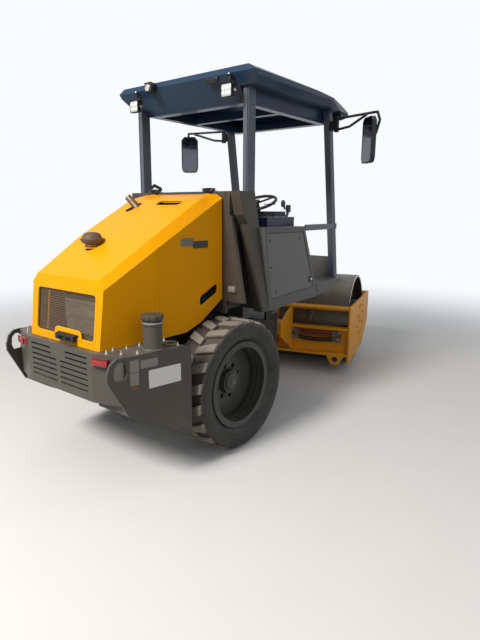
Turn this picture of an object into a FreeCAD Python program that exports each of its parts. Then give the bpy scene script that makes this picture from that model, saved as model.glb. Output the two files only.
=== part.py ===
import FreeCAD, Part
import Sketcher
import math
import os
from FreeCAD import Placement, Rotation, Vector

# Single-drum road roller. X points forward, Y to the left, Z up, lengths in millimetres.
# The model is laid out from the ground plane and the rear frame's middle plane, with the
# front frame in axes of its own that start at the articulation pivot. At the end everything
# is moved so that the origin lies on the ground under the middle of the whole machine.

# Driving dimensions: alias in the sheet, value.
SIZES = (
    # wheels and drum
    ("wheel_x", -926),
    ("wheel_y", 580),
    ("tyre_radius", 505),
    ("tyre_width", 310),
    ("tyre_side", 199),
    ("lug_height", 34),
    ("lug_width", 104),
    ("lug_middle_width", 74),
    ("lug_sweep", 56),
    ("rim_flange_height", 30),
    ("rim_flange_width", 13),
    ("rim_width", 250),
    ("rim_wall", 14),
    ("disc_offset", 40),
    ("disc_thickness", 15),
    ("hub_radius", 100),
    ("stub_radius", 45),
    ("axle_radius", 75),
    ("differential_radius", 150),
    ("drum_radius", 530),
    ("drum_width", 1400),
    ("drum_wall", 25),
    ("drum_head_inset", 95),
    ("drum_head_thickness", 20),
    ("drum_journal_radius", 80),
    # articulation
    ("pivot_x", 450),
    ("pivot_to_drum", 1220),
    ("steer_angle", 16.2),
    ("pin_radius", 30),
    ("running_fit", 0.05),
    ("part_gap", 0.3),
    ("moving_gap", 6),
    ("ear_radius", 80),
    ("ear_thickness", 40),
    ("ear_low_z", 400),
    ("ear_high_z", 740),
    ("trunnion_radius", 45),
    ("trunnion_z", 560),
    ("trunnion_length", 330),
    ("sleeve_wall", 30),
    ("sleeve_start", 112),
    ("sleeve_length", 200),
    # steering cylinder
    ("cylinder_anchor_x", 550),
    ("cylinder_anchor_y", 205),
    ("cylinder_arm", 240),
    ("cylinder_z", 555),
    ("barrel_radius", 38),
    ("barrel_length", 350),
    ("barrel_bore_start", 45),
    ("rod_radius", 20),
    ("rod_length", 364),
    ("eye_radius", 42),
    ("eye_height", 48),
    # rear chassis
    ("rail_y", 280),
    ("rail_thickness", 20),
    ("rail_rear_x", -1930),
    ("rail_front_x", 60),
    ("rail_top_z", 900),
    ("rail_low_z", 600),
    ("bracket_thickness", 20),
    # tanks and bumper
    ("tank_top_z", 940),
    ("tank_side_y", 700),
    ("tank_rear_y", 618),
    ("tank_rear_x", -1950),
    ("tank_front_x", -1480),
    ("tank_rear_low_z", 548),
    ("tank_front_low_z", 290),
    ("tie_plate", 16),
    ("tie_hole_radius", 48),
    ("bumper_rear_x", -2040),
    ("bumper_half_flat", 368),
    ("bumper_corner_x", -1972),
    ("bumper_plate", 12),
    ("bumper_low_z", 615),
    ("ledge_thickness", 10),
    ("slot_height", 14),
    ("slot_pitch", 37),
    ("slot_outer_y", 322),
    ("slot_inner_y", 85),
    ("slot_long_inner_y", 22),
    ("slot_low_z", 668),
    ("filler_x", -1720),
    ("filler_y", -590),
    ("filler_radius", 68),
    ("filler_height", 198),
    ("filler_cap_radius", 77),
    ("filler_cap_height", 34),
    # hood
    ("hood_rear_x", -1990),
    ("hood_rear_top_x", -1940),
    ("hood_front_x", -858),
    ("hood_crease_x", -1540),
    ("hood_shoulder_x", -1040),
    ("hood_rear_half", 396),
    ("hood_front_half", 448),
    ("hood_rear_side_z", 1295),
    ("hood_crease_side_z", 1556),
    ("hood_shoulder_side_z", 1813),
    ("hood_front_side_z", 1908),
    ("hood_rear_top_z", 1348),
    ("hood_crease_top_z", 1622),
    ("hood_shoulder_top_z", 1896),
    ("hood_front_top_z", 1940),
    ("hood_chamfer", 56),
    ("hood_wall", 16),
    ("hood_arch_start_x", -1260),
    ("hood_arch_rise", 205),
    ("hinge_pin_radius", 7),
    ("hinge_eye_radius", 12),
    ("hinge_width", 60),
    ("hinge_y", 300),
    ("grille_half", 335),
    ("grille_low_z", 985),
    ("grille_high_z", 1292),
    ("grille_thickness", 6),
    ("vent_low_z", 1100),
    ("vent_height", 90),
    ("vent_rear_x", -1118),
    ("vent_front_x", -906),
    ("vent_rise", 95),
    ("latch_middle_y", -56),
    ("latch_width", 204),
    ("latch_height", 42),
    ("exhaust_radius", 27),
    ("exhaust_wall", 4),
    ("intake_x", -1640),
    ("intake_y", 105),
    ("intake_z", 1590),
    ("intake_neck_radius", 48),
    ("intake_cap_radius", 84),
    ("grip_slot_x", -1090),
    ("grip_slot_y", -118),
    ("grip_slot_half", 130),
    # engine
    ("engine_rear_x", -1640),
    ("engine_front_x", -1010),
    ("engine_half", 255),
    ("engine_low_z", 640),
    ("engine_top_z", 1330),
    # bulkhead and side legs
    ("bulkhead_x", -846),
    ("bulkhead_thickness", 30),
    ("bulkhead_half", 470),
    ("wall_low_z", 1120),
    ("wall_low_half", 655),
    ("wall_high_half", 530),
    ("bulkhead_low_z", 1020),
    ("sill_z", 1960),
    ("leg_thickness", 90),
    ("leg_outer_y", 668),
    ("leg_top_rear_x", -842),
    ("leg_top_front_x", -650),
    ("leg_top_outer_y", 602),
    ("leg_arch_z", 1745),
    ("leg_foot_rear_x", -612),
    ("leg_foot_front_x", -524),
    ("leg_foot_z", 1018),
    # platform
    ("floor_z", 1170),
    ("floor_thickness", 40),
    ("platform_rear_x", -500),
    ("platform_front_x", 742),
    ("platform_half", 668),
    ("front_wall_height", 200),
    ("step_rear_x", -330),
    ("step_front_x", 120),
    ("step_depth", 190),
    ("step_z", 760),
    ("front_wall_thickness", 30),
    # console
    ("console_top_z", 1687),
    ("console_top_front_x", -11),
    ("console_low_front_x", 264),
    ("console_low_front_z", 1044),
    ("console_inner_y", 365),
    ("console_border", 45),
    ("cover_depth", 10),
    ("cover_thickness", 6),
    # posts and roof
    ("rear_post_x", -740),
    ("rear_post_depth", 90),
    ("rear_post_inner_y", 553),
    ("rear_post_width", 47),
    ("front_post_top_x", 516),
    ("front_post_foot_x", 750),
    ("front_post_depth", 64),
    ("front_post_width", 60),
    ("front_post_outer_y", 606),
    ("roof_box_half", 540),
    ("roof_skirt_half", 690),
    ("roof_rear_x", -830),
    ("roof_top_z", 2818),
    ("roof_depth", 218),
    ("roof_side_depth", 118),
    ("roof_half_top", 667),
    ("roof_half_wide", 724),
    ("roof_nose_x", 760),
    ("roof_nose_half", 636),
    ("roof_wall", 22),
    ("roof_rail", 60),
    # seat and controls
    ("seat_x", -330),
    ("seat_half", 240),
    ("seat_height", 330),
    ("cushion_depth", 460),
    ("cushion_height", 110),
    ("backrest_height", 330),
    ("backrest_thickness", 90),
    ("soft_gap", 0.3),
    ("column_x", 330),
    ("column_radius", 22),
    ("steer_wheel_radius", 190),
    ("steer_wheel_tube", 14),
    ("steer_wheel_x", 192),
    ("steer_wheel_z", 1886),
    ("steer_wheel_tilt", 22),
    # mirrors and lamps
    ("mirror_y", 1045),
    ("mirror_x", 365),
    ("mirror_z", 2406),
    ("mirror_width", 178),
    ("mirror_height", 372),
    ("mirror_depth", 38),
    ("mirror_turn", 38),
    ("mirror_arm_rise", 32),
    ("mirror_tube", 11),
    ("grab_y", 577),
    ("grab_radius", 14),
    ("lamp_width", 108),
    ("lamp_height", 112),
    ("lamp_depth", 55),
    ("lamp_y", 500),
    ("lamp_rise", 6),
    # drum frame, from the pivot and, for heights, from the ground
    ("frame_side_gap", 35),
    ("frame_side_thickness", 20),
    ("frame_rear", -680),
    ("frame_front", 660),
    ("frame_top_z", 780),
    ("frame_low_z", 130),
    ("beam_low_z", 212),
    ("beam_top_z", 540),
    ("beam_depth", 90),
    ("scraper_z", 760),
    ("scraper_height", 60),
    ("scraper_gap", 8),
    ("eye_plate", 22),
    ("eye_plate_y", 600),
    ("eye_hole_radius", 32),
    ("eye_hole_z", 172),
)

doc = FreeCAD.newDocument("road_roller")
sheet = doc.addObject("Spreadsheet::Sheet", "Sizes")
sheet.Label = "driving dimensions"
for row, (alias, value) in enumerate(SIZES, start=1):
    sheet.set(f"A{row}", alias)
    sheet.set(f"B{row}", str(value))
    sheet.setAlias(f"B{row}", alias)
doc.recompute()


class Size:
    """A length as a number together with the sheet expression that gives it."""

    def __init__(self, value, text):
        self.value = value
        self.text = text

    def __add__(self, other):
        other = as_size(other)
        return Size(self.value + other.value, f"({self.text} + {other.text})")

    def __sub__(self, other):
        other = as_size(other)
        return Size(self.value - other.value, f"({self.text} - {other.text})")

    def __mul__(self, other):
        other = as_size(other)
        return Size(self.value * other.value, f"({self.text} * {other.text})")

    def __truediv__(self, other):
        other = as_size(other)
        return Size(self.value / other.value, f"({self.text} / {other.text})")

    def __neg__(self):
        return Size(-self.value, f"(0 - {self.text})")

    def __radd__(self, other):
        return as_size(other) + self

    def __rsub__(self, other):
        return as_size(other) - self

    def __rmul__(self, other):
        return as_size(other) * self


def as_size(length):
    """A plain number as a Size whose expression is the number itself."""
    if isinstance(length, Size):
        return length
    return Size(float(length), repr(float(length)))


class Dimensions:
    """The sheet's cells as attributes, each one a Size."""

    def __init__(self, spreadsheet, aliases):
        for name in aliases:
            setattr(self, name, Size(float(spreadsheet.get(name)), f"Sizes.{name}"))


dim = Dimensions(sheet, [alias for alias, value in SIZES])
parts = []

# sizes that follow from others
dim.bead_radius = dim.tyre_radius - dim.tyre_side
dim.tread_radius = dim.tyre_radius - dim.lug_height
dim.roof_low_z = dim.roof_top_z - dim.roof_depth
dim.roof_under_z = dim.roof_top_z - dim.roof_side_depth
dim.mirror_arm_z = dim.roof_low_z + dim.mirror_arm_rise
dim.lamp_z = dim.roof_low_z + dim.lamp_rise
dim.frame_side_y = dim.drum_width / 2 + dim.frame_side_gap

# lugs on each half of a tyre's tread, and corners round a tyre's outer faces
LUG_COUNT = 20
TYRE_CORNERS = 2 * LUG_COUNT

# rows of slots in the bumper, of which the lower ones reach further inward
SLOT_ROWS = 7
LONG_SLOT_ROWS = 5

# ends of the exhaust stub
EXHAUST_START = (-1128, 150, 1790)
EXHAUST_END = (-1142, 292, 1914)

# the hood rests on the tanks' tops
hood_low_z = dim.tank_top_z + dim.part_gap


def bind(obj, prop, length):
    """Set a property of obj and bind it to the sheet."""
    length = as_size(length)
    obj.setExpression(prop, length.text)
    return length.value


def move_to(obj, x, y, z, rotation=Rotation()):
    """Put obj at a point given in sizes, turned by rotation about that point."""
    lengths = [as_size(length) for length in (x, y, z)]
    obj.Placement = Placement(Vector(*[length.value for length in lengths]), rotation)
    for axis, length in zip("xyz", lengths):
        obj.setExpression(f"Placement.Base.{axis}", length.text)
    return obj


def box(name, x, y, z):
    """A block between two sizes along each axis."""
    piece = doc.addObject("Part::Box", name)
    for prop, (low, high) in zip(("Length", "Width", "Height"), (x, y, z)):
        setattr(piece, prop, bind(piece, prop, as_size(high) - low))
    return move_to(piece, x[0], y[0], z[0])


TURNS = {"X": Rotation(Vector(0, 1, 0), 90), "Y": Rotation(Vector(1, 0, 0), -90), "Z": Rotation()}


def rod(name, start, axis, length, radius):
    """A round bar from a start point along +X, +Y or +Z."""
    piece = doc.addObject("Part::Cylinder", name)
    piece.Radius = bind(piece, "Radius", radius)
    piece.Height = bind(piece, "Height", length)
    return move_to(piece, *start, rotation=TURNS[axis])


def bar(name, start, end, radius):
    """A round bar between two points in any direction, with ball ends."""
    a = Vector(*[as_size(length).value for length in start])
    b = Vector(*[as_size(length).value for length in end])
    pieces = []
    middle = doc.addObject("Part::Cylinder", name)
    middle.Radius = bind(middle, "Radius", radius)
    middle.Height = (b - a).Length
    pieces.append(move_to(middle, *start, rotation=Rotation(Vector(0, 0, 1), b - a)))
    for tag, point in (("_a", start), ("_b", end)):
        ball = doc.addObject("Part::Sphere", name + tag)
        ball.Radius = bind(ball, "Radius", radius)
        pieces.append(move_to(ball, *point))
    return pieces


def bent_bar(name, points, radius):
    """A round bar along straight runs with ball corners."""
    pieces = []
    for number, (start, end) in enumerate(zip(points, points[1:])):
        pieces += bar(f"{name}_{number}", start, end, radius)
    return join(name, *pieces)


def sketch_loops(sketch, loops):
    """Draw closed outlines in a sketch, with every corner and circle bound to the sheet.

    A loop is a list of corners (u, v), or ("circle", u, v, radius).
    """
    for loop in loops:
        first = sketch.GeometryCount
        if loop[0] == "circle":
            u, v, radius = [as_size(length) for length in loop[1:]]
            centre = Vector(u.value, v.value, 0)
            sketch.addGeometry(Part.Circle(centre, Vector(0, 0, 1), radius.value), False)
            limits = (
                (Sketcher.Constraint("Radius", first, radius.value), radius),
                (Sketcher.Constraint("DistanceX", -1, 1, first, 3, u.value), u),
                (Sketcher.Constraint("DistanceY", -1, 1, first, 3, v.value), v),
            )
            for limit, length in limits:
                number = sketch.addConstraint(limit)
                sketch.setExpression(f"Constraints[{number}]", length.text)
            continue
        corners = [(as_size(u), as_size(v)) for u, v in loop]
        count = len(corners)
        for here, there in zip(corners, corners[1:] + corners[:1]):
            start = Vector(here[0].value, here[1].value, 0)
            end = Vector(there[0].value, there[1].value, 0)
            sketch.addGeometry(Part.LineSegment(start, end), False)
        for index in range(count):
            joint = Sketcher.Constraint("Coincident", first + index, 2, first + (index + 1) % count, 1)
            sketch.addConstraint(joint)
        for index, corner in enumerate(corners):
            for kind, length in zip(("DistanceX", "DistanceY"), corner):
                limit = Sketcher.Constraint(kind, -1, 1, first + index, 1, length.value)
                number = sketch.addConstraint(limit)
                sketch.setExpression(f"Constraints[{number}]", length.text)


def body_sketch(body, plane, offset, loops):
    """A sketch of closed outlines on one of the body's origin planes, moved along its normal."""
    sketch = body.newObject("Sketcher::SketchObject", body.Name + "_outline")
    role = plane + "_Plane"
    support = [feature for feature in body.Origin.OriginFeatures if feature.Role == role]
    sketch.AttachmentSupport = [(support[0], "")]
    sketch.MapMode = "FlatFace"
    offset = as_size(offset)
    sketch.AttachmentOffset = Placement(Vector(0, 0, offset.value), Rotation())
    sketch.setExpression("AttachmentOffset.Base.z", offset.text)
    sketch_loops(sketch, loops)
    return sketch


def prism(name, plane, span, *loops):
    """A body padded from an outline drawn on XY, XZ or YZ, between two sizes across that plane."""
    low, high = [as_size(length) for length in span]
    body = doc.addObject("PartDesign::Body", name)
    offset = -high if plane == "XZ" else low
    sketch = body_sketch(body, plane, offset, loops)
    pad = body.newObject("PartDesign::Pad", name + "_pad")
    pad.Profile = sketch
    pad.Length = bind(pad, "Length", high - low)
    body.Tip = pad
    return body


def turned(name, corners, angle=360):
    """A body turned about the Y axis from an outline of (y, radius) corners."""
    body = doc.addObject("PartDesign::Body", name)
    sketch = body_sketch(body, "YZ", 0, [corners])
    revolve = body.newObject("PartDesign::Revolution", name + "_turn")
    revolve.Profile = sketch
    revolve.ReferenceAxis = (sketch, ["H_Axis"])
    revolve.Angle = angle
    body.Tip = revolve
    return body


def level_loft(name, rows):
    """A ruled solid through rectangles that lie level, one row (z, x low, x high, y low, y high) each."""
    sections = []
    for number, (z, x_low, x_high, y_low, y_high) in enumerate(rows):
        sketch = doc.addObject("Sketcher::SketchObject", f"{name}_{number}")
        sketch_loops(sketch, [[(x_low, y_low), (x_high, y_low), (x_high, y_high), (x_low, y_high)]])
        sections.append(move_to(sketch, 0, 0, z))
    loft = doc.addObject("Part::Loft", name)
    loft.Sections = sections
    loft.Solid = True
    loft.Ruled = True
    return loft


def join(name, *pieces):
    """Pieces that touch or overlap, welded into one."""
    whole = doc.addObject("Part::MultiFuse", name)
    whole.Shapes = list(pieces)
    whole.Refine = True
    return whole


def cut(name, base, *tools):
    """A piece with others cut out of it."""
    tool = tools[0] if len(tools) == 1 else join(name + "_tools", *tools)
    whole = doc.addObject("Part::Cut", name)
    whole.Base = base
    whole.Tool = tool
    whole.Refine = True
    return whole


def group(name, *pieces):
    """Like pieces that don't touch, kept together."""
    whole = doc.addObject("Part::Compound", name)
    whole.Links = list(pieces)
    return whole


def mirrored(piece):
    """The same piece on the other side of the middle plane."""
    twin = doc.addObject("Part::Mirroring", piece.Name + "_twin")
    twin.Source = piece
    twin.Normal = Vector(0, 1, 0)
    return twin


def join_one(name, piece):
    """A single piece wrapped so that it can be placed on its own."""
    return group(name, piece)


def both_sides(name, piece):
    """A piece and its mirror image on the other side of the middle plane."""
    return group(name, piece, mirrored(piece))


def keep(piece, label, frame="rear"):
    """Name a sub-part, whose frame is the rear one or the front one that turns at the pivot."""
    piece.Label = label
    parts.append((piece, frame))
    return piece


def make_chassis():
    """Two side plates that carry engine, axle and platform."""
    corners = [
        (dim.rail_rear_x, dim.rail_low_z),
        (dim.wheel_x + 230, dim.rail_low_z),
        (dim.wheel_x + 480, dim.ear_low_z),
        (dim.rail_front_x, dim.ear_low_z),
        (dim.rail_front_x, dim.ear_high_z + dim.ear_thickness),
        (dim.wheel_x + 480, dim.rail_top_z),
        (dim.rail_rear_x, dim.rail_top_z),
    ]
    across = (dim.rail_y, dim.rail_y + dim.rail_thickness)
    beam_x = dim.rail_front_x - 60
    post = box("floor_post", (beam_x - 45, beam_x + 45), across, (dim.rail_low_z, dim.rail_top_z))
    rail = join("rail_with_post", prism("rail", "XZ", across, corners), post)
    keep(both_sides("chassis_rails_pair", rail), "chassis_rails")


def make_articulation_bracket():
    """Front cross plate with an upper and a lower ear round the vertical pivot pin."""
    front = dim.rail_front_x
    back = front + dim.bracket_thickness
    plate = box(
        "bracket_plate",
        (front, back),
        (-dim.rail_y - dim.rail_thickness, dim.rail_y + dim.rail_thickness),
        (dim.ear_low_z, dim.ear_high_z + dim.ear_thickness),
    )
    window_half = dim.barrel_radius + 22
    window = box(
        "bracket_window",
        (front - 1, back + 1),
        (dim.cylinder_anchor_y - 75, dim.cylinder_anchor_y + 70),
        (dim.cylinder_z - window_half, dim.cylinder_z + window_half),
    )
    pieces = [cut("bracket_front", plate, window)]
    for tag, low in (("low", dim.ear_low_z), ("high", dim.ear_high_z)):
        half = dim.ear_radius
        corners = [
            (back, -half * 2),
            (dim.pivot_x, -half),
            (dim.pivot_x, half),
            (back, half * 2),
        ]
        span = (low, low + dim.ear_thickness)
        pieces.append(prism("ear_" + tag, "XY", span, corners))
        centre = (dim.pivot_x, 0, low)
        pieces.append(rod("ear_end_" + tag, centre, "Z", dim.ear_thickness, dim.ear_radius))
    length = dim.ear_high_z - dim.ear_low_z + dim.ear_thickness + 40
    pieces.append(rod("pin", (dim.pivot_x, 0, dim.ear_low_z - 20), "Z", length, dim.pin_radius))
    keep(join("bracket", *pieces), "articulation_bracket")


def make_axle():
    """Rear axle beam with its drive housing, pads up to the rails and a stub at each end."""
    low = (dim.wheel_x, -dim.rail_y - 40, dim.tyre_radius)
    pieces = [rod("axle_tube", low, "Y", (dim.rail_y + 40) * 2, dim.axle_radius)]
    housing = (dim.wheel_x, -140, dim.tyre_radius)
    pieces.append(rod("axle_housing", housing, "Y", 280, dim.differential_radius))
    disc_face = dim.wheel_y - dim.disc_offset
    for side in (-1, 1):
        tag = "right" if side < 0 else "left"
        inner = dim.rail_y + 30
        start = inner if side > 0 else -disc_face
        hub = (dim.wheel_x, start, dim.tyre_radius)
        pieces.append(rod("axle_hub_" + tag, hub, "Y", disc_face - inner, dim.hub_radius))
        start = disc_face if side > 0 else -disc_face - 60
        stub = (dim.wheel_x, start, dim.tyre_radius)
        pieces.append(rod("axle_stub_" + tag, stub, "Y", 60, dim.stub_radius))
        centre = (dim.rail_y + dim.rail_thickness / 2) * side
        pad = box(
            "axle_pad_" + tag,
            (dim.wheel_x - 90, dim.wheel_x + 90),
            (centre - 30, centre + 30),
            (dim.tyre_radius - dim.axle_radius, dim.rail_low_z),
        )
        pieces.append(pad)
    keep(join("axle", *pieces), "rear_axle")


def make_engine():
    """The engine as one block between the rails."""
    block = box(
        "engine",
        (dim.engine_rear_x, dim.engine_front_x),
        (-dim.engine_half, dim.engine_half),
        (dim.engine_low_z, dim.engine_top_z),
    )
    half = dim.rail_y
    mounts = []
    for tag, middle in (("rear", dim.engine_rear_x + 120), ("front", dim.engine_front_x - 120)):
        height = (dim.engine_low_z, dim.engine_low_z + 60)
        mounts.append(box("engine_mount_" + tag, (middle - 40, middle + 40), (-half, half), height))
    keep(join("engine_on_mounts", block, *mounts), "engine_block")


def tank_edge_y(x):
    """Half-width of the tank's outer face at x: it narrows towards the rear."""
    slope = (dim.tank_side_y - dim.tank_rear_y) / (dim.tank_front_x - dim.tank_rear_x)
    return dim.tank_side_y + slope * (x - dim.tank_front_x)


def make_tanks():
    """Side tanks outboard of the rails, with the tie-down plate in the plane of the outer wall."""
    corners = [
        (dim.tank_rear_x, dim.tank_rear_low_z),
        (dim.tank_front_x, dim.tank_front_low_z),
        (dim.tank_front_x, dim.tank_top_z - 45),
        (dim.tank_front_x - 45, dim.tank_top_z),
        (dim.tank_rear_x, dim.tank_top_z),
    ]
    rails = dim.rail_y + dim.rail_thickness
    front = dim.tank_front_x
    far = dim.tank_rear_x - 200
    wide = dim.tank_side_y + 10
    tank = prism("tank_side_view", "XZ", (rails, wide), corners)
    inside = [
        (far, rails),
        (front + 1, rails),
        (front + 1, tank_edge_y(front) - dim.tie_plate),
        (far, tank_edge_y(far) - dim.tie_plate),
    ]
    span = (dim.tank_front_low_z - 10, dim.tank_top_z + 50)
    body = doc.addObject("Part::Common", "tank")
    body.Base = tank
    body.Tool = prism("tank_plan", "XY", span, inside)
    keep(both_sides("tanks", body), "side_tanks")
    hole_x = dim.tank_rear_x - 52
    hole_z = dim.tank_top_z - 82
    rear = dim.tank_rear_x
    outline = [
        (dim.tank_front_x, dim.tank_front_low_z),
        (dim.tank_front_x, dim.tank_top_z - 45),
        (dim.tank_front_x - 45, dim.tank_top_z),
        (rear + 10, dim.tank_top_z),
        (rear - 22, dim.tank_top_z + 4),
        (rear - 74, dim.tank_top_z + 2),
        (rear - 118, dim.tank_top_z - 30),
        (rear - 142, dim.tank_top_z - 92),
        (rear - 140, dim.tank_top_z - 140),
        (rear - 4, dim.tank_rear_low_z),
    ]
    hole = [
        (hole_x - 32, hole_z - 62),
        (hole_x + 28, hole_z - 62),
        (hole_x + dim.tie_hole_radius, hole_z - 22),
        (hole_x + 40, hole_z + 34),
        (hole_x + 14, hole_z + 56),
        (hole_x - 14, hole_z + 56),
        (hole_x - 40, hole_z + 34),
        (hole_x - dim.tie_hole_radius, hole_z - 22),
    ]
    plate = prism("tie_plate_side_view", "XZ", (rails, wide), outline, hole)
    skin = [
        (far, tank_edge_y(far) - dim.tie_plate),
        (front + 1, tank_edge_y(front) - dim.tie_plate),
        (front + 1, tank_edge_y(front)),
        (far, tank_edge_y(far)),
    ]
    side = doc.addObject("Part::Common", "tie_plate_side")
    side.Base = plate
    side.Tool = prism("tie_plate_plan", "XY", span, skin)
    keep(both_sides("tie_plates", side), "tank_side_plates")


def make_filler():
    """Filler neck with its cap on the right tank."""
    base = (dim.filler_x, dim.filler_y, dim.tank_top_z)
    neck = rod("neck", base, "Z", dim.filler_height, dim.filler_radius)
    cap_base = (dim.filler_x, dim.filler_y, dim.tank_top_z + dim.filler_height)
    cap = rod("neck_cap", cap_base, "Z", dim.filler_cap_height, dim.filler_cap_radius)
    cover_base = (dim.filler_x + 160, dim.filler_y, dim.tank_top_z)
    cover = rod("neck_cover", cover_base, "Z", 16, 55)
    keep(group("filler", join("filler_neck_and_cap", neck, cap), cover), "filler_neck")


def make_bumper():
    """Bent rear plate with two columns of slots, and the ledge on top of it."""
    rear = dim.bumper_rear_x
    flat = dim.bumper_half_flat
    plate = dim.bumper_plate
    corner = dim.bumper_corner_x
    wide = tank_edge_y(corner) - dim.tie_plate - dim.part_gap
    outline = [
        (rear, -flat),
        (corner, -wide),
        (corner + plate * 1.2, -wide),
        (rear + plate, -flat + 4),
        (rear + plate, flat - 4),
        (corner + plate * 1.2, wide),
        (corner, wide),
        (rear, flat),
    ]
    top = dim.tank_top_z - dim.ledge_thickness
    skin = prism("bumper_skin", "XY", (dim.bumper_low_z, top), outline)
    slots = []
    for number in range(SLOT_ROWS):
        low = dim.slot_low_z + dim.slot_pitch * number
        inner = dim.slot_long_inner_y if number < LONG_SLOT_ROWS else dim.slot_inner_y
        for column, across in (("right", (-dim.slot_outer_y, -inner)), ("left", (inner, dim.slot_outer_y))):
            name = f"slot_{column}_{number}"
            slots.append(box(name, (rear - 5, rear + plate + 5), across, (low, low + dim.slot_height)))
    ledge_outline = [
        (rear, -flat),
        (corner, -wide),
        (dim.tank_rear_x - dim.part_gap, -wide),
        (dim.tank_rear_x - dim.part_gap, wide),
        (corner, wide),
        (rear, flat),
    ]
    ledge = prism("bumper_ledge", "XY", (top, dim.tank_top_z), ledge_outline)
    keep(join("bumper_whole", cut("bumper_slotted", skin, *slots), ledge), "rear_bumper")


def make_tail_lights():
    """A red lamp on each slanted corner of the bumper."""
    run_x = dim.bumper_corner_x - dim.bumper_rear_x
    run_y = tank_edge_y(dim.bumper_corner_x) - dim.tie_plate - dim.bumper_half_flat
    angle = math.degrees(math.atan2(run_x.value, run_y.value))
    lamp = doc.addObject("Part::Box", "tail_lamp")
    lamp.Length = 22
    lamp.Width = 120
    lamp.Height = 48
    along = 0.08
    start_x = dim.bumper_rear_x + run_x * along - 22
    start_y = dim.bumper_half_flat + run_y * along + 6
    move_to(lamp, start_x, start_y, dim.tank_top_z - 72, Rotation(Vector(0, 0, 1), -angle))
    keep(both_sides("tail_lamp_pair", lamp), "tail_lights")


def hood_section(name, x, half, side_z, top_z, low_z, inset):
    """One cross-section of the hood: straight sides, a chamfer and a flat top."""
    sketch = doc.addObject("Sketcher::SketchObject", name)
    half = half - inset
    side = side_z - inset * 0.5
    top = top_z - inset
    flat = half - dim.hood_chamfer
    corners = [(-half, low_z), (half, low_z), (half, side), (flat, top), (-flat, top), (-half, side)]
    sketch_loops(sketch, [corners])
    turn = Rotation(Vector(0, 1, 0), Vector(0, 0, 1), Vector(1, 0, 0), "ZXY")
    return move_to(sketch, x, 0, 0, turn)


def hood_solid(name, inset, rear_x, front_x, low_z):
    """The hood's full form as a ruled loft through four sections."""
    crease_half = dim.hood_front_half - (dim.hood_front_half - dim.hood_rear_half) * 0.08
    rows = (
        (rear_x, dim.hood_rear_half, dim.hood_rear_side_z, dim.hood_rear_top_z),
        (dim.hood_crease_x, crease_half, dim.hood_crease_side_z, dim.hood_crease_top_z),
        (dim.hood_shoulder_x, crease_half, dim.hood_shoulder_side_z, dim.hood_shoulder_top_z),
        (front_x, dim.hood_front_half, dim.hood_front_side_z, dim.hood_front_top_z),
    )
    sections = []
    for number, (x, half, side_z, top_z) in enumerate(rows):
        sections.append(hood_section(f"{name}_{number}", x, half, side_z, top_z, low_z, inset))
    loft = doc.addObject("Part::Loft", name)
    loft.Sections = sections
    loft.Solid = True
    loft.Ruled = True
    return loft


def hinge_line():
    """The x and z of the hood's hinge axis, just above the sill."""
    x = dim.hood_front_x + 6
    z = dim.sill_z + dim.hinge_eye_radius + 2
    return x, z


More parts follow.
